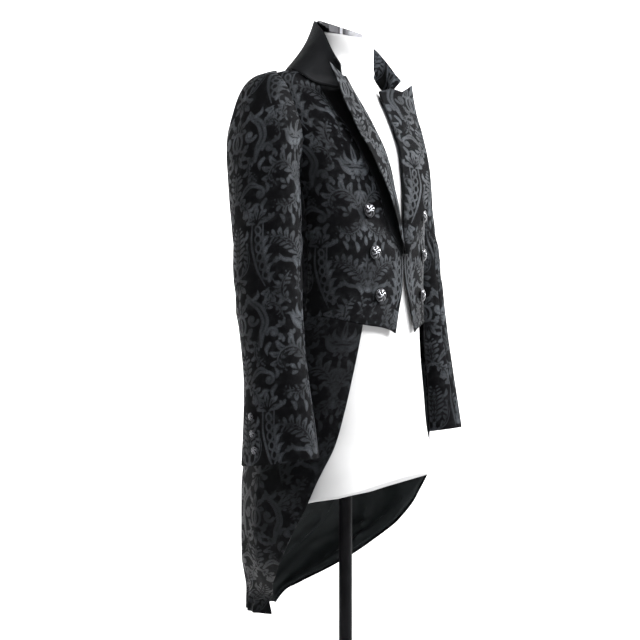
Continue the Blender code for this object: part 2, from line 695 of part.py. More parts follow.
def build_buttons():
    """Three buttons down each front and three up each cuff."""
    for side_name, side in SIDES:
        flip = np.array([side, 1.0, 1.0])
        for i in range(3):
            height = FRONT_BUTTONS["height"][i]
            angle = angle_of(FRONT_BUTTONS["half_width"][i], height)
            base = body_point(angle, height, BROCADE + 0.0003)
            out = body_point(angle, height, 0.01) - body_point(angle, height, 0.0)
            button(f"front_button_{side_name}_{i + 1}", base * flip, out * flip, FRONT_BUTTON, 14)
        for i in range(3):
            around = np.array([CUFF_BUTTONS["around"][i] - 2, CUFF_BUTTONS["around"][i],
                               CUFF_BUTTONS["around"][i] + 2])
            grid = sleeve_grid(around)
            normals = grid_normals(grid)[:, 1]
            line = grid[:, 1]
            at = np.interp(-CUFF_BUTTONS["height"][i], -line[5:, 2], np.arange(5, len(line)))
            low = int(at)
            part = at - low
            base = line[low] * (1 - part) + line[low + 1] * part
            out = normals[low] * (1 - part) + normals[low + 1] * part
            out = out if out[0] > 0 else -out
            out = out / np.linalg.norm(out)
            base = base + out * (BROCADE + 0.0004)
            button(f"cuff_button_{side_name}_{i + 1}", base * flip, out * flip, CUFF_BUTTON, 10)


def neck_joined(ring, radius):
    """Ring widened to at least a round column about the upright axis, with a soft change between them."""
    reach = np.hypot(ring[:, 0], ring[:, 1])
    joined = (reach ** 26 + radius ** 26) ** (1 / 26)
    out = ring.copy()
    out[:, :2] *= (joined / reach)[:, None]
    return out


def build_form():
    """Limbless torso, its neck cap, the pole and the round base."""
    half = 18
    count = 2 * half
    turn = np.concatenate([np.linspace(0, 180, half + 1), np.linspace(180, 0, half + 1)[1:-1]])
    sign = np.where(np.arange(count) <= half, 1.0, -1.0)
    heights = [0.500, 0.504, 0.560, 0.620, 0.690, 0.760, 0.820, 0.870, 0.920, 0.970, 1.020, 1.070,
               1.110, 1.145, 1.175, 1.200, 1.220, 1.236, 1.249, 1.258, 1.265, 1.272, 1.279, 1.286, 1.292]
    rings = [circle(0.060, FORM_BOTTOM, count, slope=FORM_BOTTOM_SLOPE)]
    for height in heights:
        front = look_up(EASE, "height", "front", height)
        back = look_up(EASE, "height", "back", height)
        ease = front + (back - front) * (1 - np.cos(np.radians(turn))) / 2
        if height == FORM_BOTTOM:
            ease = ease + 0.006
        low = np.clip((0.62 - height) / 0.12, 0, 1)
        ring = body_point(turn, height - FORM_DROP * low, -ease, folds=False)
        ring[:, 0] *= sign
        ring[:, 2] += low * (FORM_BOTTOM_SLOPE * ring[:, 1] + FORM_SIDE_RISE * (ring[:, 0] / 0.2) ** 2)
        rings.append(neck_joined(ring, NECK_RADIUS) if height > 1.15 else ring)
    neck = table("height half_width back", [
        (1.299, 0.0760, 0.0720),
        (1.308, 0.0660, 0.0630),
        (1.321, 0.0585, 0.0570),
        (1.338, 0.0540, 0.0535),
    ])
    for height, half_width, back in zip(*[neck[k] for k in ("height", "half_width", "back")]):
        ring = circle(1.0, height, count)
        ring[:, 0] *= half_width
        ring[:, 1] *= np.where(ring[:, 1] > 0, back, 0.8 * NECK_RADIUS)
        rings.append(neck_joined(ring, NECK_RADIUS))
    rings.append(circle(NECK_RADIUS, 1.3596, count, slope=0.24))
    loft("form_torso", rings, "form", 0.0, 0.75)
    cap = [circle(NECK_RADIUS, 1.3600, count, slope=0.24),
           circle(NECK_RADIUS + 0.0010, 1.3610, count, slope=0.245),
           circle(NECK_RADIUS + 0.0010, 1.3750, count, slope=0.395),
           circle(NECK_RADIUS, 1.3760, count, slope=0.40)]
    loft("form_neck_cap", cap, "metal", 1.0, 0.2)
    pole = [circle(POLE_RADIUS, BASE_HEIGHT + 0.0163, 24),
            circle(POLE_RADIUS, FORM_BOTTOM - LAY_GAP, 24, slope=FORM_BOTTOM_SLOPE)]
    loft("form_pole", pole, "stand", 0.0, 0.4)
    base = [circle(BASE_RADIUS, 0.0, 48), circle(BASE_RADIUS, BASE_HEIGHT - 0.002, 48),
            circle(BASE_RADIUS - 0.002, BASE_HEIGHT, 48), circle(0.030, BASE_HEIGHT, 48),
            circle(0.026, BASE_HEIGHT + 0.010, 48), circle(0.018, BASE_HEIGHT + 0.016, 48)]
    loft("form_base", base, "stand", 0.0, 0.4)


for old in list(bpy.data.objects):
    bpy.data.objects.remove(old, do_unlink=True)
PARTS = bpy.data.collections.new("brocade_tailcoat")
bpy.context.scene.collection.children.link(PARTS)
build_body()
build_lapels()
build_collar()
build_sleeves()
build_buttons()
build_form()
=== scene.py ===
"""Brocade tailcoat on a white dress form: fine cloth shells, materials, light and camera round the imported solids."""
import math

import bmesh
import bpy
import numpy as np
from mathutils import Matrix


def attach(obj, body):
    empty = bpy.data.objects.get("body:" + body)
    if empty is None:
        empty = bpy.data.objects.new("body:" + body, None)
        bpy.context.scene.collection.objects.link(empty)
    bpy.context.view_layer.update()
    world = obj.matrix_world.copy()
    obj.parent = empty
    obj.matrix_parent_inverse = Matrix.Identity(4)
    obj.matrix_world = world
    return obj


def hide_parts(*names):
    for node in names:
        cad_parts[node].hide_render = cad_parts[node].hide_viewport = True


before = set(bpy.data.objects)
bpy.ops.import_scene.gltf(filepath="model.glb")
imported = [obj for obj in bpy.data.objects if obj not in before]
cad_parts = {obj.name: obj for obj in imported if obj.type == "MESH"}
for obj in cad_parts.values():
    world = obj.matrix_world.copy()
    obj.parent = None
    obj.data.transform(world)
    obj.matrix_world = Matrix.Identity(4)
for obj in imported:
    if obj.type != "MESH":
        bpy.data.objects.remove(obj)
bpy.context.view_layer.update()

# Camera: level, with a small shift for the framing of the photo
CAMERA_AT = (-1.7132, -1.1675, 0.89)
CAMERA_AZIMUTH = 54.4
LENS = 61.875
CAMERA_SHIFT = -0.0516

camera_data = bpy.data.cameras.new("camera")
camera = bpy.data.objects.new("camera", camera_data)
bpy.context.scene.collection.objects.link(camera)
camera_data.sensor_width = 36.0
camera_data.lens = LENS
camera_data.shift_y = CAMERA_SHIFT
camera.location = CAMERA_AT
camera.rotation_euler = (math.radians(90), 0.0, math.radians(-CAMERA_AZIMUTH))
bpy.context.scene.camera = camera

# Cloth of the solids and of the shells, and the spacing of the shells' points
BROCADE = 0.0020
LAPEL_BROCADE = 0.0015
PLAIN_CLOTH = 0.0012
LAY_GAP = 0.0004
LINING_GAP = 0.0008
LINING_INSET = 0.0045
THICKNESS = 0.0013
LINING_THICKNESS = 0.0008
SPACING = 0.0021
PLAIN_SPACING = 0.0032
INNER_STEP = 3
FAR_FROM_EDGE = 0.05

# Coat, main heights and angles (angles run from the centre front, 0, to the centre back, 180)
BREAK_HEIGHT = 0.945
FRONT_HEM = 0.806
SKIRT_FRONT_TOP = 0.823
WAIST_BACK = 0.840
HEM_HEIGHT = 0.255
GORGE_HEIGHT = 1.250
SIDE_SEAM = 82.0
CENTRE_BACK = 179.99
ARMHOLE_MIDDLE = 1.168
ARMHOLE_REACH = 0.094
ARMHOLE_FRONT = 12.0
ARMHOLE_BACK = 32.0
SLEEVE_LAP = 0.005
SLEEVE_LAP_ANGLE = 2.5
SLEEVE_HEAD_GAP = 0.0024
SLEEVE_FRONT_SEAM = -102.0
SLEEVE_BACK_SEAM = 56.0
BACK_SEAM_TOP = 1.140
BAND_COLUMNS = 4
FRONT_BUTTON = 0.0245
CUFF_BUTTON = 0.0130
FORM_BOTTOM = 0.500
FORM_BOTTOM_SLOPE = -0.20
FORM_DROP = 0.009
NECK_RADIUS = 0.0525
SIDES = (("right", -1.0), ("left", 1.0))
# The section's front and back powers blend from this angle on, over this turn
BLEND_FROM, BLEND_TURN = 70.0, 40.0
# Share of the back's length from which its rows bend up to the neckline
NECK_BEND = 0.86
# Small steps of angle and height for the normal of the body
TURN_STEP, HEIGHT_STEP = 0.6, 0.0015
PLAIN_COLUMNS = "angle seam_angle around spread front_power back_power step lift".split()


def hermite(at, values, slope, x):
    """Cubic curve through values with the given slopes, read at x."""
    i = np.clip(np.searchsorted(at, x) - 1, 0, len(at) - 2)
    h = at[i + 1] - at[i]
    t = (x - at[i]) / h
    if values.ndim > 1:
        h, t = h[:, None], t[:, None]
    start = (1 + 2 * t) * (1 - t) ** 2 * values[i] + t * (1 - t) ** 2 * h * slope[i]
    return start + (t ** 2 * (3 - 2 * t) * values[i + 1] + t ** 2 * (t - 1) * h * slope[i + 1])


class Table(dict):
    """Columns of numbers by name: lengths written in millimetres and kept in metres, other columns as they are."""

    def __init__(self, names, rows):
        for name, column in zip(names.split(), np.array(rows, dtype=float).T):
            self[name] = column if name in PLAIN_COLUMNS else column / 1000
        self.key = self[names.split()[0]]

    def at(self, name, key):
        """Value of a column where the first column has the given value, on a curve that never overshoots."""
        step = np.diff(self.key)
        rise = np.diff(self[name]) / step
        both = rise[:-1] * rise[1:] > 0
        first, second = np.where(both, rise[:-1], 1.0), np.where(both, rise[1:], 1.0)
        before, after = 2 * step[1:] + step[:-1], step[1:] + 2 * step[:-1]
        mean = (before + after) / (before / first + after / second)
        slope = np.concatenate([rise[:1], np.where(both, mean, 0.0), rise[-1:]])
        return hermite(self.key, self[name], slope, np.clip(np.asarray(key, dtype=float), self.key[0], self.key[-1]))


# Inside face of the coat, one row per level section
BODY = Table("height half_width front back front_power back_power", [
    (255, 38, 138, 223.5, 2, 2), (285, 45, 105, 223, 2, 2), (300, 56, 60, 222, 2, 2), (330, 94, -20, 215, 2.1, 2),
    (376, 155, -88, 198, 2.2, 2), (420, 195, -125, 180, 2.5, 2), (470, 210, -138, 171, 2.8, 2),
    (520, 211, -142, 171, 3.1, 2), (600, 196, -141, 170, 2.5, 2), (690, 187, -137, 161, 2.3, 2.1),
    (780, 173, -133, 147, 2.2, 2.1), (840, 163, -130, 130, 2.3, 2.1), (890, 158, -128, 119, 2.4, 2.1),
    (950, 159, -125.5, 118, 2.6, 2.1), (1010, 164, -120.5, 122, 2.9, 2.2), (1070, 170, -114, 127, 2.9, 2.3),
    (1130, 177, -102.5, 128, 2.7, 2.3), (1180, 186, -82.5, 122, 2.4, 2.2), (1220, 192, -62.5, 112, 2, 2.1),
    (1245, 193, -49, 104, 1.75, 2), (1262, 184, -43, 98, 1.65, 2), (1275, 151, -42, 94, 1.65, 2),
    (1284, 118, -42, 90, 1.75, 2), (1292, 94, -43, 88, 1.9, 2), (1312, 78, -44, 83, 2, 2),
])
# Soft folds of the tails: they start below the start height and reach their full depth at the hem
FOLDS = Table("angle spread depth start", [
    (99, 8, 5, 660), (121, 8, 6, 660), (144, 7, 5, 740), (166, 8, 4.5, 700),
])
# Space between the coat and the form
EASE = Table("height front back", [
    (470, 16, 34), (520, 16, 31), (600, 10, 26), (690, 9, 18), (780, 8, 13), (840, 7, 9), (890, 6, 7), (950, 4, 5),
    (1010, 3, 3), (1070, 2, 2), (1130, 2.4, 1.6), (1180, 2.5, 1.8), (1300, 2.5, 2),
])
# Front edge of the forepart, and the outer edge of the plain band under the lapel
FRONT_EDGE = Table("height half_gap band", [
    (806, 33, 45), (840, 23, 37), (875, 10.5, 25), (910, 3, 15), (945, 0.8, 7), (967, 1, 27), (980, 2, 37),
    (1005, 6, 50), (1039, 10, 59), (1077, 16, 77), (1109, 20, 95), (1144, 28, 106), (1170, 33, 119), (1203, 38, 126),
    (1235, 44, 124), (1252, 47.5, 120),
])
# Standing lapel: roll line half width, then the free edge in space
LAPEL = Table("height roll edge_x edge_y edge_z", [
    (950, 2, 6, -135, 950), (965, 2, 12.5, -135.5, 965), (980, 2.6, 22.5, -136, 980), (1010, 6, 40, -138.5, 1010),
    (1040, 10, 59, -140, 1040), (1070, 16, 74.5, -137, 1070), (1100, 19, 89, -129, 1100), (1130, 25, 101, -120, 1130),
    (1160, 31, 113, -106.5, 1160), (1190, 36, 120, -94.5, 1190), (1220, 41, 126, -80.5, 1222),
    (1237, 44, 131, -71, 1252), (1250, 47, 141, -61, 1282),
])
# Front edge of the cutaway skirt
CUTAWAY = Table("height angle", [
    (255, 50), (270, 62), (285, 74), (300, 84), (330, 91), (376, 86.5), (420, 83), (455, 79.2), (490, 75.4),
    (520, 71.4), (542, 67.4), (563, 63), (591, 56.6), (647, 49.6), (671, 47), (737, 42), (793, 38.2), (823, 36.5),
])
# Seam between the back and the side body, and lower down between the back and the skirt
BACK_SEAM = Table("height angle", [
    (255, 168.5), (300, 165), (380, 160), (500, 154), (680, 149), (840, 146), (950, 142), (1030, 137.5), (1090, 131),
    (1120, 125.6), (1140, 120.547),
])
# Waist seam and front hem, and the line of the neck
WAIST_SEAM = Table("angle height", [
    (9, 806), (17.5, 817), (23, 819), (36.5, 824), (50.5, 831), (61, 836), (82, 839), (146, 840), (180, 840),
])
NECKLINE = Table("angle height", [
    (14, 1249), (30.5, 1249), (44.8, 1254.5), (54, 1266.5), (72.5, 1279), (90, 1283.5), (120, 1287), (150, 1290),
    (180, 1291),
])
# Raised collar from the centre back to its front corner: seam on the body, then the top edge in space
COLLAR = Table("step seam_angle seam_drop seam_lift top_x top_y top_z sag", [
    (0, 179.9, 4, 5.3, 0.3, 58.5, 1395, 0), (0.15, 150, 4, 5.3, 31, 49, 1392, 0), (0.3, 120, 4, 5.3, 53, 29, 1380, 0),
    (0.45, 90, 4, 5.1, 71, 7, 1366, 0), (0.6, 68, 4, 5.1, 84, -12, 1350, 0), (0.75, 52, 3, 6, 95, -31, 1325, 0),
    (0.88, 38, 2, 6.4, 101, -46, 1304, 1), (1, 23, 0, 6.4, 104, -59, 1287, 7),
])
# Sleeve sections: outer and inner side, middle, half depth, and how much the front is raised
SLEEVE = Table("outer_x outer_z inner_x inner_z middle_y half_depth lift", [
    (206, 1264, 177.5, 1070, 29, 69, 0), (224, 1258, 178, 1067, 28, 71, 0), (242, 1242, 178.5, 1063, 27, 72, 0),
    (256, 1212, 179, 1056, 25.5, 72, 0), (264, 1166, 179.5, 1045, 23, 71, 0), (267, 1110, 180, 1028, 19, 70, 0),
    (269.5, 1050, 182, 1000, 14, 68.5, 0), (275.5, 985, 188.5, 960, 4.5, 66, 0), (283, 915, 196, 906, -2, 64, 0),
    (286.5, 860, 200, 855, -8.5, 61, 0), (288.5, 800, 203, 797, -17.5, 58.5, 0), (289.5, 735, 205, 734, -26.5, 59, 0),
    (290, 670, 204, 670, -31.5, 65, 0.06), (292, 596, 203, 596, -35, 73, 0.16),
])
FRONT_BUTTONS = Table("half_width height", [
    (93, 1024), (82.5, 951), (71.2, 875),
])
CUFF_BUTTONS = Table("height around", [
    (674, 21), (646, 17.5), (619, 13.5),
])
# Shared rows, so that neighbours meet point to point along their seams
TAIL_LEVELS = np.array([255, 285, 312, 342, 375, 412, 455, 505, 560, 620, 685, 755, 840]) / 1000
BACK_LEVELS = np.array([840, 885, 935, 985, 1030, 1070, 1105, 1140]) / 1000
BACK_TOP_LEVELS = np.array([1160, 1185, 1210, 1232, 1248, 1257, 1261.5, 1266, 1271, 1277, 1283]) / 1000
FOREPART_TOP_LEVELS = np.array([1103, 1112, 1124, 1144, 1168, 1196, 1220, 1240, 1252, 1259, 1262, 1266.5, 1271.5,
                                1277, 1283]) / 1000


def eased(part):
    """Soft step from 0 to 1."""
    part = np.clip(part, 0.0, 1.0)
    return part * part * (3 - 2 * part)


def gaps(points, axis=0):
    """Distances between neighbours along an axis."""
    return np.linalg.norm(np.diff(points, axis=axis), axis=-1)


def unit(vectors):
    """Vectors brought to length 1."""
    return vectors / np.linalg.norm(vectors, axis=-1)[..., None]


def running(lengths, axis=0):
    """Sums of lengths along an axis, from nothing on."""
    return np.concatenate([0 * lengths.take([0], axis), np.cumsum(lengths, axis=axis)], axis=axis)


def circle(count):
    """Angles of evenly spaced points round a circle."""
    return np.linspace(0, 2 * np.pi, count, endpoint=False)


def between(first, last, part):
    """Rows of values from one column to another."""
    return first[:, None] + (last - first)[:, None] * part[None, :]


def bare_point(angle, height):
    """Point on the inside face of the coat, on the wearer's left."""
    width, front, back, front_power, back_power = (BODY.at(name, height) for name in list(BODY)[1:])
    turn = np.radians(angle)
    ahead = np.cos(turn)
    to_back = eased((np.asarray(angle) - BLEND_FROM) / BLEND_TURN)
    power = front_power * (1 - to_back) + back_power * to_back
    x = width * np.sign(np.sin(turn)) * np.abs(np.sin(turn)) ** (2 / power)
    y = (front + back) / 2 - (back - front) / 2 * np.sign(ahead) * np.abs(ahead) ** (2 / power)
    return np.stack([x, y, height + 0 * x], axis=-1)


def fold_depth(angle, height):
    """How far the soft folds of the tails stand out."""
    out = 0 * np.asarray(angle, dtype=float)
    for middle, spread, depth, start in zip(*FOLDS.values()):
        grow = np.clip((start - height) / (start - HEM_HEIGHT), 0.0, 1.0)
        out = out + depth * grow * np.exp(-((angle - middle) / spread) ** 2)
    return out


def body_point(angle, height, offset, folds=True):
    """Point moved out from the coat's inside face by the offset, on the wearer's left."""
    angle, height, offset = np.broadcast_arrays(np.asarray(angle, dtype=float), height, offset)
    along = bare_point(angle + TURN_STEP, height) - bare_point(angle - TURN_STEP, height)
    up = bare_point(angle, height + HEIGHT_STEP) - bare_point(angle, height - HEIGHT_STEP)
    if folds:
        offset = offset + fold_depth(angle, height)
    return bare_point(angle, height) + unit(np.cross(along, up)) * offset[..., None]


def angle_of(half_width, height):
    """Angle at which the front of the section is the given distance from the middle."""
    part = np.clip(half_width / BODY.at("half_width", height), 0, 1)
    return np.degrees(np.arcsin(part ** (BODY.at("front_power", height) / 2)))


def armhole_angle(height, front):
    """Edge of the armhole at a height, in front of or behind the side."""
    out = np.sqrt(1 - np.clip((height - ARMHOLE_MIDDLE) / ARMHOLE_REACH, -1.0, 1.0) ** 2)
    return 90.0 - ARMHOLE_FRONT * out if front else 90.0 + ARMHOLE_BACK * out


def armhole_bottom(angle):
    """Height of the armhole's lower edge at an angle."""
    reach = np.clip((angle - 90.0) / np.where(angle < 90, ARMHOLE_FRONT, ARMHOLE_BACK), -1.0, 1.0)
    return ARMHOLE_MIDDLE - ARMHOLE_REACH * np.sqrt(1 - reach ** 2)


def grid_normals(grid):
    """Normal at every point of a grid of rows and columns."""
    return unit(np.cross(np.gradient(grid, axis=1), np.gradient(grid, axis=0)))


def back_grid():
    """Angles and heights of the whole back, from the hem to the neck."""
    levels = np.concatenate([TAIL_LEVELS, BACK_LEVELS[1:], BACK_TOP_LEVELS])
    part = (levels - HEM_HEIGHT) / (levels[-1] - HEM_HEIGHT)
    across = np.linspace(0, 1, 7)
    seam = BACK_SEAM.at("angle", np.minimum(levels, BACK_SEAM_TOP))
    edge = np.where(levels <= BACK_SEAM_TOP, seam, armhole_angle(levels, False))
    rise = NECKLINE.at("height", 90 + 90 * across) - levels[-1]
    lift = np.clip((part - NECK_BEND) / (1 - NECK_BEND), 0, 1) ** 2
    return between(edge, CENTRE_BACK, across), levels[:, None] + lift[:, None] * rise[None, :]


def skirt_grid():
    """Angles and heights of the cutaway skirt, from the hem to the waist seam."""
    part = (TAIL_LEVELS - HEM_HEIGHT) / (WAIST_BACK - HEM_HEIGHT)
    front = CUTAWAY.at("angle", HEM_HEIGHT + part * (SKIRT_FRONT_TOP - HEM_HEIGHT))
    angles = between(front, BACK_SEAM.at("angle", TAIL_LEVELS), np.linspace(0, 1, 11))
    waist = WAIST_SEAM.at("height", angles[-1])
    return angles, HEM_HEIGHT + part[:, None] * (waist[None, :] - HEM_HEIGHT)


def side_body_grid():
    """Angles and heights of the side body, from the waist seam to the armhole."""
    part = (BACK_LEVELS - WAIST_BACK) / (BACK_SEAM_TOP - WAIST_BACK)
    back = BACK_SEAM.at("angle", BACK_LEVELS)
    angles = between(0 * back + SIDE_SEAM, back, np.linspace(0, 1, 6))
    bottom = WAIST_SEAM.at("height", angles[0])
    return angles, bottom[None, :] + part[:, None] * (armhole_bottom(angles[-1]) - bottom)[None, :]


def forepart_grid():
    """Angles and heights of the forepart; the columns up to the band's edge come first."""
    low_edge = armhole_bottom(SIDE_SEAM)
    side_levels = np.linspace(WAIST_SEAM.at("height", SIDE_SEAM), low_edge, 8)
    side_levels = np.concatenate([side_levels, FOREPART_TOP_LEVELS])
    side = np.where(side_levels <= low_edge, SIDE_SEAM, armhole_angle(side_levels, True))
    lengths = gaps(body_point(side, side_levels, 0.0))
    part = running(lengths) / lengths.sum()
    front_levels = FRONT_HEM + (GORGE_HEIGHT - FRONT_HEM) * part ** 0.93
    front = angle_of(FRONT_EDGE.at("half_gap", front_levels), front_levels)
    band = angle_of(FRONT_EDGE.at("band", front_levels), front_levels)
    near = between(front, band, np.linspace(0, 1, BAND_COLUMNS))
    angles = np.concatenate([near, between(band, side, np.linspace(0, 1, 9)[1:])], axis=1)
    share = (angles - front[:, None]) / (side - front)[:, None]
    heights = front_levels[:, None] + share * (side_levels - front_levels)[:, None]
    bottom = WAIST_SEAM.at("height", angles[0])
    top = NECKLINE.at("height", angles[-1])
    heights += ((1 - part) ** 3)[:, None] * (bottom - heights[0])[None, :]
    heights += (part ** 6)[:, None] * (top - heights[-1])[None, :]
    return angles, heights


def neck_joined(ring):
    """Ring widened to at least the round neck, with a soft change between them."""
    reach = np.hypot(ring[:, 0], ring[:, 1])
    joined = (reach ** 26 + NECK_RADIUS ** 26) ** (1 / 26)
    out = ring.copy()
    out[:, :2] *= (joined / reach)[:, None]
    return out


def sleeve_head(around, offset):
    """Line of the sleeve's top edge, lapping over the edge of the armhole."""
    turn = np.radians(around)
    reach = np.where(np.sin(turn) < 0, ARMHOLE_FRONT, ARMHOLE_BACK) + SLEEVE_LAP_ANGLE
    height = ARMHOLE_MIDDLE + (ARMHOLE_REACH + SLEEVE_LAP) * np.cos(turn)
    return body_point(90.0 + reach * np.sin(turn), height, offset, folds=False)


def sleeve_grid(around):
    """Inside face of the sleeve for the given angles (0 outer side, 90 back, -90 front)."""
    turn = np.radians(around)
    rows = [sleeve_head(around, BROCADE + SLEEVE_HEAD_GAP)]
    for outer_x, outer_z, inner_x, inner_z, middle_y, half_depth, lift in zip(*SLEEVE.values()):
        high, low = np.array([outer_x, middle_y, outer_z]), np.array([inner_x, middle_y, inner_z])
        line = (high + low) / 2 + np.cos(turn)[:, None] * (high - low) / 2
        line[:, 1] += half_depth * np.sin(turn)
        line[:, 2] -= lift * half_depth * np.sin(turn)
        rows.append(line)
    return np.stack(rows)


# The damask figure, in millimetres: half a repeat from its axis to its outer axis
HALF = 128.0
REPEAT = 312.0
LOBE_GAP = 1.35
FAR = 30.0
VEINED_FROM = 4.5
SLIM = (0.3, 0.85, 1.0, 0.8, 0.12)
BROAD = (0.75, 1.0, 0.95, 0.62, 0.1)
ROUND = (0.55, 0.85, 1.0, 0.95, 0.5)
# Leaves from base to tip: x, y, x, y, width, bend
LEAVES = {
    SLIM: (
        (0, 76, 0, 62, 3.8, 0), (14, 110, 27, 124, 3.4, -0.25), (0, 278, 0, 296, 3.8, 0),
        (18, 266, 22, 286, 4.2, 0.15), (36, 270, 44, 286, 3.8, 0.15), (0, 24, 0, 56, 5, 0), (0, 10, 0, -10, 4.4, 0),
        (112, 250, 104, 268, 4, 0.2), (128, 98, 128, 122, 5, 0), (78, -4, 94, -12, 4, 0.2),
        (64, 14, 66, 32, 3.6, 0.2),),
    BROAD: (
        (0, 112, 0, 146, 5.6, 0), (7, 111, 17, 134, 4.4, -0.25), (12, 196, 30, 204, 4.4, 0.25),
        (26, 206, 46, 220, 4, -0.2), (94, 148, 84, 164, 4.4, 0.25), (70, 72, 76, 52, 4.4, 0.2),
        (66, 2, 72, -18, 4.4, 0.2),),
}
# Curved plumes: line, lobes a side, their length and width, spine, lean, shape, sides
PLUMES = (
    ((6, 152, 14, 164, 9, 180, 14, 194), 4, 11, 4.2, 2, 48, BROAD),
    ((30, 136, 42, 150, 40, 170, 30, 184), 5, 14, 4.8, 2.8, 48, ROUND),
    ((5, 198, 16, 224, 36, 244, 62, 250), 8, 19, 5.4, 2.8, 44, ROUND),
    ((0, 206, 0, 232, 0, 262), 5, 15, 4.8, 3.2, 42, BROAD),
    ((5, 22, 12, 44, 30, 60, 50, 56, 58, 40, 50, 28), 8, 20, 6, 4, 48, ROUND),
    ((5, 12, 14, -4, 32, -12, 50, -8), 6, 15, 5.2, 3, 48, ROUND),
    ((128, 196, 128, 232, 128, 268), 8, 22, 5.6, 3.8, 40, ROUND),
    ((120, 190, 106, 200, 100, 220, 104, 240), 5, 13, 4.6, 2.8, 48, ROUND, (-1,)),
    ((76, 126, 64, 138, 50, 132, 44, 116), 5, 13, 4.6, 2.8, 48, ROUND),
    ((86, 78, 98, 68, 98, 52, 86, 40), 5, 12, 4.4, 2.8, 48, ROUND),
    ((128, 6, 128, 30, 128, 54), 5, 18, 5.2, 3.4, 46, ROUND),
    ((124, 8, 112, 0, 103, -12, 99, -28), 5, 14, 4.8, 3.6, 48, ROUND),
)
# Fans: x, y, direction, spread, leaves, length, width, curl, bare part
FANS = (
    (0, 100, 270, 74, 5, 21, 4.8, 0.1, 0.3), (26, 22, 40, 60, 3, 17, 4.2, 0.1, 0.2),
    (84, 276, 90, 84, 5, 28, 5.4, 0.2, 0.2), (60, 164, 262, 74, 5, 26, 5, 0.2, 0.2),
    (128, 186, 270, 76, 5, 30, 5.6, 0.18, 0.2), (128, 122, 90, 80, 5, 27, 5, 0.18, 0.3),
    (128, 96, 270, 80, 7, 34, 5.2, 0.2, 0.2),
)
# Strokes: line, widths, vein
STROKES = (
    ((0, 100, 13, 98, 23, 103, 30, 116, 38, 118), (9.5, 9.0, 6.4, 3.4, 1.0), 0),
    ((93, 274, 94, 240, 84, 200, 70, 168), (1.2, 2.2, 2.4, 1.0), 0),
    ((72, 274, 73, 240, 66, 200, 54, 172), (1.2, 2.0, 2.2, 1.0), 0),
    ((106, 158, 98, 146, 82, 132, 74, 110, 82, 90, 86, 70), (2.4, 5.0, 6.6, 7.2, 6.4, 3.0), 1.1),
    ((78, 25.5, 92, 31, 104, 25, 116, 12), (3.2, 5.4, 5.0, 2.4), 1.0),
)
# Scrolled ends: x, y, radius, start, turns, width, ball
VOLUTES = (
    (99, 117, 12.5, 200, 0.74, 3.4, 6.2), (62, 88, 11, 0, 0.8, 3.2, 5.6), (78, 14, 11.5, 90, 0.8, 3.2, 5.4),
)
DOTS = (
    (18, 142, 2.2), (42, 110, 2.2), (0, 200, 6), (10, 290, 2.2), (32, 290, 2), (0, 17, 6), (128, 190, 6),
)
# Sprigs of three small leaves in what stays open: x, y, direction, length
SPRIGS = (
    (46, 98, 60, 12), (46, 82, 330, 11), (112, 78, 40, 11), (46, 206, 60, 10), (112, 148, 200, 10), (30, 82, 60, 10),
    (64, 154, 20, 9), (106, 288, 80, 12), (56, 280, 60, 11), (104, 94, 60, 8),
)


def flowing(points, count):
    """Smooth line through a few points."""
    p = np.array(points, dtype=float).reshape(-1, 2)
    p = np.vstack([2 * p[0] - p[1], p, 2 * p[-1] - p[-2]])
    out = []
    for i in range(1, len(p) - 2):
        t = np.linspace(0, 1, count, endpoint=i == len(p) - 3)[:, None]
        a, b, c, d = p[i - 1], p[i], p[i + 1], p[i + 2]
        bent = (2 * a - 5 * b + 4 * c - d) * t ** 2 + (3 * b - a - 3 * c + d) * t ** 3
        out.append(0.5 * (2 * b + (c - a) * t + bent))
    return np.vstack(out)


def turned(degrees):
    """Direction of an angle in degrees."""
    return np.array([np.cos(np.radians(degrees)), np.sin(np.radians(degrees))])


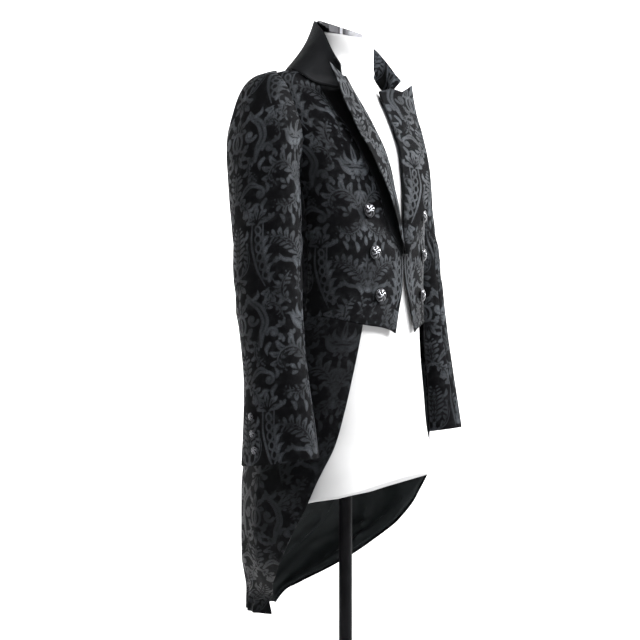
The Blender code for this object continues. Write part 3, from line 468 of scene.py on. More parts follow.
class Figure:
    """Strokes of changing width. Lobes of one group stay apart by a thin line; veins are cut out."""

    def __init__(self):
        self.groups, self.veins, self.open = [], [], None

    def lobe(self, line, widths, vein=False):
        at = np.linspace(0, 1, len(line))
        w = np.interp(at, np.linspace(0, 1, len(widths)), widths)
        piece = (line[:-1], line[1:], w[:-1], w[1:])
        if vein:
            self.veins.append(piece)
        elif self.open is None:
            self.groups.append([piece])
        else:
            self.open.append(piece)

    def stroke(self, points, widths, vein):
        line = flowing(points, 12)
        self.lobe(line, widths)
        if vein:
            self.lobe(line[len(line) // 8:-max(1, len(line) // 5)], [0.3 * vein, vein, 0.3 * vein], True)

    def leaf(self, base, tip, width, bend, shape):
        base, tip = np.array(base, float), np.array(tip, float)
        along = tip - base
        middle = base + 0.5 * along + bend * np.array([-along[1], along[0]])
        line = flowing([base, middle, tip], 6)
        self.lobe(line, [width * part for part in shape])
        if width > VEINED_FROM:
            self.lobe(line[3:-3], [0.4, 1.1, 0.4], True)

    def fan(self, x, y, direction, spread, count, length, width, curl, inner):
        base = np.array([x, y])
        self.open = []
        for part in np.arange(count) / (count - 1) * 2 - 1:
            way = length * (1 - 0.30 * part * part) * turned(direction + part * spread)
            self.leaf(base + inner * way, base + way, width, -curl * part, ROUND)
        self.groups.append(self.open)
        self.open = None

    def plume(self, points, count, length, width, spine, lean, shape, sides=(1, -1)):
        """Curved spine with broad pointed lobes on its sides, longest in the middle."""
        line = flowing(points, 16)
        self.open = []
        at = running(gaps(line))
        for i in range(count):
            part = (i + 0.5) / count
            k = min(int(np.searchsorted(at, part * at[-1])), len(line) - 1)
            way = line[k] - line[max(k - 1, 0)]
            heading = np.degrees(np.arctan2(way[1], way[0]))
            reach = length * (0.55 + 0.75 * np.sin(np.pi * part) ** 0.8) * (1.1 - 0.45 * part)
            for side in sides:
                tip = line[k] + reach * turned(heading + side * lean)
                self.leaf(line[k], tip, width * (1.1 - 0.35 * part), -0.2 * side, shape)
        self.leaf(line[-4], line[-1] + (line[-1] - line[-3]) * 1.6, width * 0.9, 0.0, shape)
        self.groups.append(self.open)
        self.open = None
        self.lobe(line, [spine * 0.8, spine * 1.15, spine, spine * 0.5])
        self.lobe(line[4:-4], [0.5, 1.15, 0.5], True)

    def volute(self, x, y, radius, start, turns, width, ball):
        angle = np.radians(start) + np.linspace(0, 2 * np.pi * turns, 26)
        r = radius * np.linspace(1, 0.25, 26)
        self.lobe(np.stack([x + r * np.cos(angle), y + r * np.sin(angle)], axis=-1), [width, width * 0.7])
        self.dot(x, y, ball)

    def dot(self, x, y, radius):
        self.lobe(np.array([[x, y], [x + 0.01, y + 0.01]]), [radius, radius])

    def ring(self, x, y, rx, ry, turn, width):
        angle = np.linspace(0, 2 * np.pi, 21)
        a, b = rx * np.cos(angle), ry * np.sin(angle)
        c, s = turned(turn)
        self.lobe(np.stack([x + a * c - b * s, y + a * s + b * c], axis=-1), [width, width])


def lowered(out, piece, x, y):
    """Distances lowered to that from one piece, repeated above and below."""
    a, b, wa, wb = piece
    low = np.minimum(a, b).min(axis=0) - 20
    high = np.maximum(a, b).max(axis=0) + 20
    for shift in (-REPEAT, 0.0, REPEAT):
        rows = np.flatnonzero((y[:, 0] > low[1] + shift) & (y[:, 0] < high[1] + shift))
        columns = np.flatnonzero((x[0] > low[0]) & (x[0] < high[0]))
        if not len(rows) or not len(columns):
            continue
        part = np.s_[rows[0]:rows[-1] + 1, columns[0]:columns[-1] + 1]
        px, py = x[part], y[part] - shift
        for (ax, ay), (bx, by), ra, rb in zip(a, b, wa, wb):
            dx, dy = bx - ax, by - ay
            t = np.clip(((px - ax) * dx + (py - ay) * dy) / (dx * dx + dy * dy + 1e-9), 0, 1)
            gap = np.hypot(px - ax - t * dx, py - ay - t * dy) - (ra + t * (rb - ra))
            out[part] = np.minimum(out[part], gap)
    return out


def damask():
    """Distance from the whole figure, one value a millimetre."""
    f = Figure()
    for shape, rows in LEAVES.items():
        for row in rows:
            f.leaf(row[:2], row[2:4], *row[4:], shape)
    for draw, rows in ((f.plume, PLUMES), (f.fan, FANS), (f.stroke, STROKES), (f.volute, VOLUTES), (f.dot, DOTS)):
        for row in rows:
            draw(*row)
    for x, y, direction, length in SPRIGS:
        for turn in (-50, 0, 50):
            way = turned(direction + turn)
            f.leaf(np.array([x, y]) + 1.5 * way, np.array([x, y]) + length * way, 3.2, 0.0, SLIM)
    f.lobe(flowing((0, 104, 12, 103, 22, 108), 8), [0.9, 1.1, 0.4], True)
    # Chain of links in a leafy band, and the fruit on the outer axis
    for i in range(6):
        x, y = 82 - 2.8 * i + 5.0 * np.sin(np.pi * i / 5), 264 - 15.4 * i
        f.ring(x, y, 4.8 + 0.4 * (i % 2), 7.0, -14 + 4 * i, 1.7)
        f.dot(x - 1.4, y - 7.7, 2.3)
    for i in range(5):
        f.leaf((72 - 2.4 * i, 238 - 15.6 * i), (60 - 2.2 * i, 252 - 15.6 * i), 4.2, -0.2, BROAD)
    f.ring(128, 110, 12.0, 15.5, 0, 2.8)
    x, y = np.meshgrid(np.arange(0, HALF + 0.5), np.arange(0, REPEAT))
    far = np.full(x.shape, FAR)
    out = far
    for group in f.groups:
        first = second = far
        for piece in group:
            own = lowered(far.copy(), piece, x, y)
            second = np.minimum(second, np.maximum(first, own))
            first = np.minimum(first, own)
        if len(group) > 1:
            first = np.maximum(first, LOBE_GAP - (second - first) / 2)
        out = np.minimum(out, first)
    cut = far.copy()
    for piece in f.veins:
        cut = lowered(cut, piece, x, y)
    return np.maximum(out, -cut)


FIGURE = damask()


def figure_at(place):
    """Signed distance of the damask figure in millimetres at flat places in metres."""
    x = np.abs((place[..., 0] * 1000 + HALF) % (2 * HALF) - HALF)
    y = place[..., 1] * 1000 % REPEAT
    rows, columns = FIGURE.shape
    i = np.clip(x.astype(int), 0, columns - 2)
    j = y.astype(int) % rows
    k = (j + 1) % rows
    a, b = x - i, y - np.floor(y)
    low = FIGURE[j, i] * (1 - a) + FIGURE[j, i + 1] * a
    high = FIGURE[k, i] * (1 - a) + FIGURE[k, i + 1] * a
    return low * (1 - b) + high * b


def cubic(at, values, fine):
    """Curve through rows of values, read at finer places."""
    step = np.diff(at)[:, None]
    rise = np.diff(values, axis=0) / step
    middle = (rise[:-1] * step[1:] + rise[1:] * step[:-1]) / (step[1:] + step[:-1])
    return hermite(at, values, np.concatenate([rise[:1], middle, rise[-1:]]), fine)


def refined(rings, count=None):
    """Finer rings along a body of rings, and how far along it each one lies."""
    at = running(gaps(rings).mean(axis=1))
    fine = np.linspace(0, at[-1], count or int(at[-1] / SPACING))
    return cubic(at, rings.reshape(len(rings), -1), fine).reshape(len(fine), -1, 3), fine


def resample(grid, spacing):
    """Grid of angles and heights made finer along rows and columns with a smooth curve."""
    for axis in (0, 1):
        grid = np.moveaxis(grid, axis, 0)
        steps = gaps(bare_point(grid[..., 0], grid[..., 1]))
        at = running(steps.reshape(len(grid) - 1, -1).mean(axis=1))
        count = max(2, int(round(at[-1] / spacing)) + 1)
        fine = cubic(at, grid.reshape(len(grid), -1), np.linspace(0, at[-1], count))
        grid = np.moveaxis(fine.reshape((count,) + grid.shape[1:]), 0, axis)
    return grid


def cloth_place(points, first):
    """Flat place of each point of a grid in metres: across from the first column's given place, and up."""
    across = running(gaps(points, 1), 1) + np.asarray(first)[:, None]
    rise = gaps(points)
    slide = np.diff(across, axis=0)
    up = np.sqrt(np.maximum(rise ** 2 - slide ** 2, (0.35 * rise) ** 2))
    return np.stack([across, running(up)], axis=-1)


def body_place(fine, grain):
    """Flat place on the body in metres: round it from the grain line's angle, and the height."""
    part = np.linspace(0, 1, 24)[:, None, None]
    line = bare_point(grain + part * (fine[..., 0] - grain)[None], fine[..., 1][None] + 0 * part)
    length = gaps(line).sum(axis=0)
    return np.stack([np.sign(fine[..., 0] - grain) * length, fine[..., 1] * 1.01], axis=-1)


def creased(place, creases):
    """Depth of listed troughs and ridges at flat places; each runs between two places of the cloth."""
    low = place.reshape(-1, 2).min(axis=0)
    size = place.reshape(-1, 2).max(axis=0) - low
    out = np.zeros(place.shape[:2])
    for across_a, up_a, across_b, up_b, width, depth in creases:
        a = low + size * np.array([across_a, up_a]) / 100
        b = low + size * np.array([across_b, up_b]) / 100
        along = b - a
        t = np.clip(((place - a) @ along) / (along @ along), 0, 1)
        side = 0.08 * np.array([-along[1], along[0]])
        middle = a + t[..., None] * along + np.sin(np.pi * t)[..., None] * side
        gap = np.linalg.norm(place - middle, axis=-1) / (width / 1000)
        out += depth * np.sin(np.pi * np.clip(0.12 + 0.76 * t, 0, 1)) ** 0.7 * np.exp(-gap ** 2)
    return out / 1000.0


def edge_distance(points, edges):
    """Distance from the named edges of a grid, in metres."""
    across, up = running(gaps(points, 1), 1), running(gaps(points))
    ways = {"left": across, "right": across[:, -1:] - across, "bottom": up, "top": up[-1:] - up}
    return np.minimum.reduce([np.full(points.shape[:2], FAR_FROM_EDGE)] + [ways[edge] for edge in edges])


def mesh_object(name, points, faces, flat_ends=False):
    """Smooth mesh object from points and groups of faces, each group with its own number of corners."""
    mesh = bpy.data.meshes.new(name)
    mesh.vertices.add(len(points))
    mesh.vertices.foreach_set("co", np.asarray(points, dtype=np.float32).ravel())
    corners = np.concatenate([group.ravel() for group in faces]).astype(np.int32)
    sizes = np.concatenate([np.full(len(group), group.shape[1]) for group in faces])
    mesh.loops.add(len(corners))
    mesh.loops.foreach_set("vertex_index", corners)
    mesh.polygons.add(len(sizes))
    mesh.polygons.foreach_set("loop_start", running(sizes)[:-1].astype(np.int32))
    mesh.polygons.foreach_set("use_smooth", (sizes == 4) | (not flat_ends))
    mesh.update(calc_edges=True)
    mesh.validate()
    thing = bpy.data.objects.new(name, mesh)
    bpy.context.scene.collection.objects.link(thing)
    return thing


def keep_value(thing, key, value):
    """Keep a number, or a place of two or three numbers, on every point of a mesh."""
    value = np.asarray(value, dtype=np.float32)
    if value.shape[1] == 1:
        layer = thing.data.attributes.new(key, "FLOAT", "POINT")
        layer.data.foreach_set("value", value.ravel())
    else:
        layer = thing.data.attributes.new(key, "FLOAT_VECTOR", "POINT")
        layer.data.foreach_set("vector", np.pad(value, ((0, 0), (0, 3 - value.shape[1]))).ravel())


def ring_faces(number):
    """Four-sided faces between rings of point numbers."""
    after = np.roll(number, -1, axis=1)
    return np.stack([number[:-1], after[:-1], after[1:], number[1:]], axis=-1).reshape(-1, 4)


def grid_faces(number):
    """Four-sided faces of a grid of point numbers."""
    return np.stack([number[:-1, :-1], number[:-1, 1:], number[1:, 1:], number[1:, :-1]], axis=-1).reshape(-1, 4)


def thinned(count):
    """Every few numbers up to a count, and the last one."""
    return np.unique(np.append(np.arange(0, count, INNER_STEP), count - 1))


def shell(name, outer, inner, values, material, side=1.0):
    """Closed thin cloth: a fine shown face, a coarser face behind it and a rim, with values kept on the points."""
    rows, columns = outer.shape[:2]
    pick = np.ix_(thinned(rows), thinned(columns))
    behind = inner[pick]
    flip = np.array([side, 1.0, 1.0])
    points = np.concatenate([(outer * flip).reshape(-1, 3), (behind * flip).reshape(-1, 3)])
    number = np.arange(rows * columns).reshape(rows, columns)
    back = number.size + np.arange(behind.shape[0] * behind.shape[1]).reshape(behind.shape[:2])
    twin = dict(zip(number[pick].ravel().tolist(), back.ravel().tolist()))
    walk = np.concatenate([number[0, :-1], number[:-1, -1], number[-1, :0:-1], number[:0:-1, 0]]).tolist()
    marks = [i for i, place in enumerate(walk) if place in twin]
    walls = {}
    for start, end in zip(marks, marks[1:] + marks[:1]):
        part = walk[start:end + 1] if end > start else walk[start:] + walk[:1]
        face = [twin[part[0]], twin[part[-1]]] + part[::-1]
        walls.setdefault(len(face), []).append(face)
    faces = [grid_faces(number), grid_faces(back)[:, ::-1]] + [np.array(group) for group in walls.values()]
    r, c = rows // 2, columns // 2
    normal = np.cross(outer[r, c + 1] - outer[r, c], outer[r + 1, c] - outer[r, c])
    if normal @ (outer[r, c] - inner[r, c]) * side < 0:
        faces = [group[:, ::-1] for group in faces]
    thing = mesh_object(name, points, faces)
    for key, value in values.items():
        value = value.reshape(rows, columns, -1)
        layers = value.shape[-1]
        keep_value(thing, key, np.concatenate([value.reshape(-1, layers), value[pick].reshape(-1, layers)]))
    thing.data.materials.append(material)
    return thing


def area_of(points):
    """Area of a grid of points."""
    a = points[1:, 1:] - points[:-1, :-1]
    b = points[1:, :-1] - points[:-1, 1:]
    return float(np.linalg.norm(np.cross(a, b), axis=-1).sum() / 2)


SOCKETS = {"base": "Base Color", "rough": "Roughness", "metal": "Metallic", "specular": "Specular IOR Level",
           "sheen": "Sheen Weight", "sheen_rough": "Sheen Roughness", "normal": "Normal"}


class Nodes:
    """Short calls for the nodes of one material."""

    def __init__(self, name):
        self.material = bpy.data.materials.new(name)
        self.material.use_nodes = True
        self.tree = self.material.node_tree

    def add(self, kind, inputs=(), **settings):
        node = self.tree.nodes.new(kind)
        for key, value in settings.items():
            setattr(node, key, value)
        for key, value in dict(inputs).items():
            self.set(node, key, value)
        return node

    def set(self, node, key, value):
        if hasattr(value, "is_output"):
            self.tree.links.new(value, node.inputs[key])
        elif isinstance(value, tuple):
            node.inputs[key].default_value = value + (1,)
        else:
            node.inputs[key].default_value = value

    def put(self, **values):
        for key, value in values.items():
            self.set(self.tree.nodes["Principled BSDF"], SOCKETS[key], value)
        return self.material

    def value(self, name, output="Fac"):
        return self.add("ShaderNodeAttribute", attribute_name=name).outputs[output]

    def object_place(self):
        return self.add("ShaderNodeTexCoord").outputs["Object"]

    def math(self, operation, *values, clamp=False):
        out = values[0]
        for value in values[1:] or (None,):
            inputs = {0: out} if value is None else {0: out, 1: value}
            out = self.add("ShaderNodeMath", inputs, operation=operation, use_clamp=clamp).outputs[0]
        return out

    def plus(self, *values, clamp=False):
        return self.math("ADD", *values, clamp=clamp)

    def times(self, *values):
        return self.math("MULTIPLY", *values)

    def ramp(self, value, low, high, to_low=0.0, to_high=1.0):
        inputs = {0: value, 1: low, 2: high, 3: to_low, 4: to_high}
        return self.add("ShaderNodeMapRange", inputs, interpolation_type="SMOOTHSTEP").outputs[0]

    def mix(self, part, a, b):
        return self.add("ShaderNodeMix", {0: part, 6: a, 7: b}, data_type="RGBA").outputs[2]

    def noise(self, vector, scale, detail=3.0, rough=0.55):
        inputs = {"Scale": scale, "Detail": detail, "Roughness": rough, "Vector": vector}
        return self.add("ShaderNodeTexNoise", inputs).outputs["Fac"]

    def wave(self, vector, scale, direction="X", distortion=0.0):
        inputs = {"Scale": scale, "Distortion": distortion, "Vector": vector}
        return self.add("ShaderNodeTexWave", inputs, bands_direction=direction).outputs["Fac"]

    def bump(self, height, distance, strength):
        inputs = {"Strength": strength, "Distance": distance, "Height": height}
        return self.add("ShaderNodeBump", inputs).outputs["Normal"]


def brocade_material():
    """Black ground with a raised cool grey figure, with painted light and shade per piece and painted shade at the
    edges.
    """
    n = Nodes("brocade")
    place, figure = n.value("place", "Vector"), n.value("figure")
    rag = n.noise(place, 900.0, 2.0)
    ragged = n.plus(figure, n.times(n.math("SUBTRACT", rag, 0.5), 1.5))
    mask = n.ramp(ragged, -0.65, 0.65, 1.0, 0.0)
    fine = n.noise(place, 420.0, 3.0, 0.6)
    # The last factor of the tone is painted light and shade, kept on the points of each piece
    tone = n.times(n.ramp(figure, -3.8, -0.2, 1.05, 0.50),
                   n.ramp(n.noise(place, 34.0, 4.0, 0.6), 0.30, 0.70, 0.62, 1.20),
                   n.ramp(fine, 0.30, 0.70, 0.62, 1.26),
                   n.ramp(n.wave(place, 380.0, "DIAGONAL", 0.6), 0.0, 1.0, 0.86, 1.05),
                   n.ramp(n.noise(place, 15.0, 3.0, 0.5), 0.36, 0.64, 0.50, 1.16),
                   n.value("nap"))
    light = n.mix(tone, (0.0040, 0.0045, 0.0053), (0.0680, 0.0750, 0.0850))
    mottle = n.times(n.ramp(n.noise(place, 70.0, 4.0, 0.65), 0.46, 0.66), n.ramp(figure, 0.0, 9.0, 1.0, 0.25))
    dark = n.mix(mottle, (0.0014, 0.0015, 0.0019), (0.0060, 0.0066, 0.0074))
    # Painted shade: the cloth darkens within 1.6 mm of its seams and free edges, in the seam furrows and on the rounded
    # edges
    seam = n.ramp(n.value("edge"), 0.0, 0.0016, 0.45, 1.0)
    colour = n.mix(seam, (0.0016, 0.0016, 0.0020), n.mix(mask, dark, light))
    weave = n.times(n.wave(place, 520.0, "X", 0.4), n.wave(place, 420.0, "Y", 0.4))
    height = n.plus(n.times(mask, 0.30), n.times(weave, 0.22), n.times(fine, 0.25))
    return n.put(base=colour, rough=n.ramp(mask, 0.0, 1.0, 0.85, 0.48), specular=0.05, sheen=0.004, sheen_rough=0.5,
                 normal=n.bump(height, 0.0006, 0.75))


def plain_material(name, dark, light, rough, sheen, twill):
    """Plain black cloth with a fine twill line and small stitches beside its edges."""
    n = Nodes(name)
    place, edge = n.value("place", "Vector"), n.value("edge")
    cloud = n.noise(place, 40.0, 4.0, 0.6)
    fine = n.noise(place, 700.0, 2.0)
    row = n.times(n.ramp(edge, 0.0035, 0.0040), n.ramp(edge, 0.0046, 0.0051, 1.0, 0.0))
    stitches = n.times(row, n.ramp(n.wave(place, 95.0, "Y"), 0.35, 0.5))
    colour = n.mix(n.plus(n.times(cloud, 0.6), n.times(fine, 0.4)), dark, light)
    colour = n.mix(n.times(stitches, 0.6), colour, tuple(2.2 * v for v in light))
    height = n.plus(n.times(n.wave(place, twill, "DIAGONAL", 0.3), 0.35), n.times(fine, 0.35), n.times(stitches, 0.8))
    return n.put(base=colour, rough=n.ramp(cloud, 0.3, 0.7, rough - 0.05, rough + 0.07), specular=0.08, sheen=sheen,
                 sheen_rough=0.4, normal=n.bump(height, 0.00035, 0.6))


def jersey_material():
    """Stretched white jersey of the form with fine ribs and pressed seams."""
    n = Nodes("form_jersey")
    place = n.value("place", "Vector")
    cloud = n.noise(place, 22.0, 4.0, 0.6)
    fine = n.noise(place, 900.0, 2.0)
    line = n.ramp(n.value("seam"), 0.0004, 0.0016, 1.0, 0.0)
    colour = n.mix(cloud, (0.45, 0.45, 0.458), (0.50, 0.50, 0.499))
    colour = n.mix(n.times(line, 0.35), colour, (0.40, 0.40, 0.40))
    height = n.plus(n.times(n.wave(place, 430.0, "X", 0.5), 0.30), n.times(fine, 0.25))
    height = n.math("SUBTRACT", height, n.times(line, 0.7))
    return n.put(base=colour, rough=n.ramp(cloud, 0.3, 0.7, 0.80, 0.90), specular=0.25, sheen=0.15, sheen_rough=0.5,
                 normal=n.bump(height, 0.0003, 0.5))


def button_material():
    """Antiqued silver relief: dark in the hollows, worn bright on the tops."""
    n = Nodes("button_metal")
    grain = n.noise(n.object_place(), 1400.0)
    worn = n.times(n.math("SUBTRACT", grain, 0.5), 0.35)
    part = n.plus(n.ramp(n.value("relief"), 0.25, 0.85), worn, clamp=True)
    return n.put(base=n.mix(part, (0.006, 0.006, 0.007), (0.20, 0.205, 0.22)), metal=1.0,
                 rough=n.ramp(part, 0.0, 1.0, 0.46, 0.15), normal=n.bump(grain, 0.00012, 0.6))


def chrome_material():
    """Turned metal of the neck cap, with painted reflections in its base colour: dark and light streaks and a glint
    round its rim.
    """
    n = Nodes("chrome")
    place = n.object_place()
    marks = n.noise(place, 300.0, 5.0, 0.7)
    split = n.add("ShaderNodeSeparateXYZ", {"Vector": place})
    around = n.math("ARCTAN2", split.outputs[1], split.outputs[0])
    # Painted reflection: the base colour turns dark or light by the angle round the rim, with a thin painted glint
    shade = n.math("SUBTRACT", n.times(around, 2.0), n.plus(5.46, n.times(marks, 0.6)))
    painted_glint = n.math("COSINE", n.plus(around, 2.69))
    painted_dark_reflection = n.times(n.ramp(n.math("COSINE", shade), -0.98, 0.0), n.ramp(painted_glint, 0.9982, 0.9996, 1.0, 0.0))
    return n.put(base=n.mix(painted_dark_reflection, (0.90, 0.90, 0.96), (0.09, 0.09, 0.096)), metal=1.0,
                 rough=n.ramp(marks, 0.3, 0.7, 0.096, 0.156), normal=n.bump(marks, 0.00005, 0.3))


def stand_material():
    """Satin black paint with a faint orange-peel surface and dust."""
    n = Nodes("stand_black")
    place = n.object_place()
    cloud = n.noise(place, 14.0, 4.0, 0.6)
    colour = n.mix(n.ramp(cloud, 0.40, 0.75), (0.0028, 0.0028, 0.0034), (0.0060, 0.0060, 0.0070))
    return n.put(base=colour, rough=n.ramp(cloud, 0.3, 0.7, 0.46, 0.58), specular=0.05,
                 normal=n.bump(n.noise(place, 420.0, 2.0, 0.5), 0.0002, 0.4))


BROCADE_CLOTH = brocade_material()
PLAIN = plain_material("plain_black_cloth", (0.0030, 0.0033, 0.0038), (0.0064, 0.0070, 0.0082), 0.72, 0.008, 300.0)
LINING = plain_material("black_satin_lining", (0.0085, 0.0104, 0.0110), (0.0180, 0.0212, 0.0222), 0.36, 0.02, 420.0)
JERSEY = jersey_material()
BUTTON = button_material()
CHROME = chrome_material()
STAND = stand_material()

# Creases of each piece: across and up at both ends in percent, width and depth in millimetres
CREASES = {
    "forepart": (
        (15, 10, 60, 22, 20, -0.9), (30, 42, 95, 30, 24, -1.2), (75, 62, 98, 40, 18, -1.4), (60, 80, 98, 62, 20, 0.8),
        (20, 25, 45, 55, 30, 0.7), (80, 10, 95, 30, 14, 0.8),),
    "side_body": (
        (10, 15, 90, 30, 12, -1.2), (0, 55, 80, 42, 14, -1), (30, 75, 100, 62, 12, 0.8),),
    "back": (
        (20, 47, 90, 52, 16, -1.2), (10, 53, 70, 60, 20, 0.9), (30, 75, 80, 93, 26, -1), (35, 5, 50, 40, 13, -1.8),
        (75, 2, 70, 30, 12, 1.4),),
    "skirt": (
        (50, 98, 35, 45, 18, -1.6), (72, 90, 66, 25, 16, 1.8), (88, 80, 80, 10, 14, -2), (30, 95, 15, 62, 14, 1),
        (62, 55, 52, 12, 20, -1.8),),
    "tail_lining": (
        (30, 95, 22, 35, 12, -5.5), (48, 90, 42, 25, 10, -3), (55, 60, 30, 30, 9, -5), (66, 85, 60, 12, 10, -6),
        (80, 70, 74, 8, 9, -3.5), (92, 90, 88, 20, 10, -4.5), (35, 52, 60, 40, 8, -4), (15, 80, 30, 55, 9, -4.5),
        (58, 95, 52, 55, 8, -4), (40, 72, 62, 68, 7, -3.5), (74, 98, 70, 60, 9, -4.5), (25, 40, 38, 12, 8, -8),
        (45, 38, 30, 20, 7, -7), (60, 42, 66, 18, 8, -8.5), (35, 30, 55, 22, 6, -6), (70, 36, 85, 30, 7, -6),),
    "sleeve_top": (
        (5, 55, 60, 47, 16, -2.6), (30, 62, 95, 52, 14, -2), (10, 44, 55, 38, 14, -2), (55, 42, 98, 36, 12, -1.6),
        (20, 52, 80, 44, 15, 1.6), (30, 92, 45, 70, 20, -1.6), (70, 95, 72, 74, 18, -1.8), (15, 80, 30, 62, 16, 1.3),
        (40, 25, 85, 18, 18, -1.2),),
    "sleeve_under": (
        (5, 52, 60, 56, 13, -2.6), (35, 60, 98, 52, 12, -2.2), (20, 44, 90, 48, 13, -2.4), (10, 36, 55, 40, 12, 1.6),
        (40, 90, 60, 72, 16, -2), (30, 20, 80, 26, 16, -1.4),),
    "lapel": (
        (30, 15, 90, 30, 20, 0.7), (20, 55, 80, 70, 22, -0.8),),
}
# Place of the figure on each piece in metres, and the angle of the grain line of the body's pieces
FIGURE_START = {
    "forepart": (0.030, -1.006), "side_body": (-0.004, -1.006), "back": (0.0, -1.006), "skirt": (0.118, -1.006),
    "sleeve_top": (0.078, 0.187), "sleeve_under": (0.070, 0.187), "lapel": (0.055, 0.110), "collar_top": (0.0, 0.178),
}
GRAIN = {"forepart": 46.0, "side_body": 84.0, "back": 180.0, "skirt": 96.0}
# Painted light and shade: how bright the figure of each piece is drawn, as lit and shaded copies of one brocade;
# the foreparts gain painted light from the chest line's height up, and lose a share towards the side as painted shade
PAINTED_LIGHT = {"forepart": 0.72, "side_body": 0.20, "back": 0.58, "skirt": 0.17, "sleeve_top": 0.55, "sleeve_under": 0.58,
       "lapel": 0.70, "collar_top": 1.15}
PAINTED_LIGHT_RISE, CHEST_LINE, CHEST_RISE = 0.46, 1.02, 0.15
PAINTED_SHADE_SIDE, PAINTED_SHADE_SHARE = (0.090, 0.155), (1.0, 0.45)
# Depth and width of the furrow at seams and of the rounding at free edges; creases fade out this near a free edge
FURROW = (0.0006, 0.0022)
ROUNDING = (0.0003, 0.0015)
CREASE_FADE = 0.012
ALL_EDGES = "left right bottom top"
# Each cloth: free edges, seams, what it rests on (* is its side), shell's lift, thickness, material, slot, held
CLOTHS = {
    "forepart": ("left bottom", "right top", "form_torso"),
    "side_body": ("", ALL_EDGES, "form_torso"),
    "back": ("bottom", "left right top", "form_torso"),
    "skirt": ("left bottom", "right top", "forepart_* side_body_*"),
    "tail_lining": (ALL_EDGES, "", "skirt_* back_*", -0.0006, LINING_THICKNESS, LINING, "plain_cloth"),
    "lapel_band": (ALL_EDGES, "", "forepart_*", BROCADE + LAY_GAP + PLAIN_CLOTH, 0.0010, PLAIN, "plain_cloth", "laid"),
    "lapel": (ALL_EDGES, "", "lapel_band_*", LAPEL_BROCADE, LAPEL_BROCADE),
    "collar_under": ("left right top", "bottom", "back_left back_right", LAY_GAP / 2 + PLAIN_CLOTH, PLAIN_CLOTH,
                     PLAIN, "plain_cloth"),
    "collar_top": ("left right top", "bottom", "collar_under", LAY_GAP / 2 + LAPEL_BROCADE, LAPEL_BROCADE),
    "sleeve_top": ("bottom", "left right top", "forepart_* back_*"),
    "sleeve_under": ("bottom", "left right top", "forepart_* back_*"),
}
CLOTH_DEFAULTS = ("", "", "", BROCADE, THICKNESS, BROCADE_CLOTH, "brocade", "hung")


def cloth_piece(name, side_name, side, base, normal, place):
    """Thin shell of one piece of cloth on its solid's form, with its creases, seam furrows and figure."""
    row = CLOTHS[name] + CLOTH_DEFAULTS[len(CLOTHS[name]):]
    edges, seams, rests, lift, thick, material, key, held = row
    rests = rests.replace("*", side_name).split()
    free = edge_distance(base, edges.split())
    seam = edge_distance(base, seams.split())
    depth = creased(place, CREASES.get(name, ())) * np.clip(free / CREASE_FADE, 0.0, 1.0)
    furrow = sum(deep * np.exp(-(gap / wide) ** 2) for gap, (deep, wide) in ((seam, FURROW), (free, ROUNDING)))
    outer = base + normal * (lift + depth - furrow)[..., None]
    place = place + np.array(FIGURE_START.get(name, (0.0, 0.0)))
    values = {"place": place, "edge": np.minimum(free, seam)}
    if material is BROCADE_CLOTH:
        # Painted light and shade: the figure's brightness set per piece, raised up the chest and lowered towards the
        # side
        nap = np.full(base.shape[:2], PAINTED_LIGHT[name])
        if name == "forepart":
            nap += PAINTED_LIGHT_RISE * np.clip((base[..., 2] - CHEST_LINE) / CHEST_RISE, 0, 1)
            nap *= np.interp(np.abs(base[..., 0]), PAINTED_SHADE_SIDE, PAINTED_SHADE_SHARE)
        values.update(figure=figure_at(place), nap=nap)
    node = f"{name}_{side_name}" if side_name else name
    thing = shell(f"cloth_{node}", outer, outer - normal * thick, values, material, side)
    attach(thing, "root")
    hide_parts(node)
    flat = place.reshape(-1, 2)
    width, length = map(float, flat.max(axis=0) - flat.min(axis=0))
    area = area_of(outer)
    grow = math.sqrt(max(1.0, area / (0.995 * width * length)))
    width, length = width * grow, length * grow


def both_sides(name, base, normal, place):
    """The same piece on the wearer's right and left."""
    for side_name, side in SIDES:
        cloth_piece(name, side_name, side, base, normal, place)


def body_piece(angles, heights, spacing=SPACING):
    """Fine points and normals of a piece of the body from its grid of angles and heights."""
    fine = resample(np.stack([angles, heights], axis=-1), spacing)
    base = body_point(fine[..., 0], fine[..., 1], 0.0)
    return fine, base, unit(body_point(fine[..., 0], fine[..., 1], 0.001) - base)


DRAWN_IN_HEIGHT = 0.085
DRAWN_IN_SHARE = 0.46


def drawn_in(angles, heights, side):
    """Angles of a tail; the far one's lowest end hangs further back and narrower."""
    if side < 0:
        return angles
    part = np.clip(1 - (heights - HEM_HEIGHT) / DRAWN_IN_HEIGHT, 0, 1) ** 1.4
    return 180 - (180 - angles) * (1 - DRAWN_IN_SHARE * part)


def trimmed(grid, points):
    """Grid with its left and bottom edges moved in, as the lining stops short of the cloth's edge."""
    for axis in (1, 0):
        grid = np.moveaxis(grid, axis, 0).copy()
        length = gaps(points, axis).sum(axis=axis)
        at = np.linspace(0, 1, len(grid))
        for i in range(grid.shape[1]):
            keep = np.clip(LINING_INSET / length[i], 0, 0.5)
            for k in range(grid.shape[2]):
                grid[:, i, k] = np.interp(keep + at * (1 - keep), at, grid[:, i, k])
        grid = np.moveaxis(grid, 0, axis)
    return grid


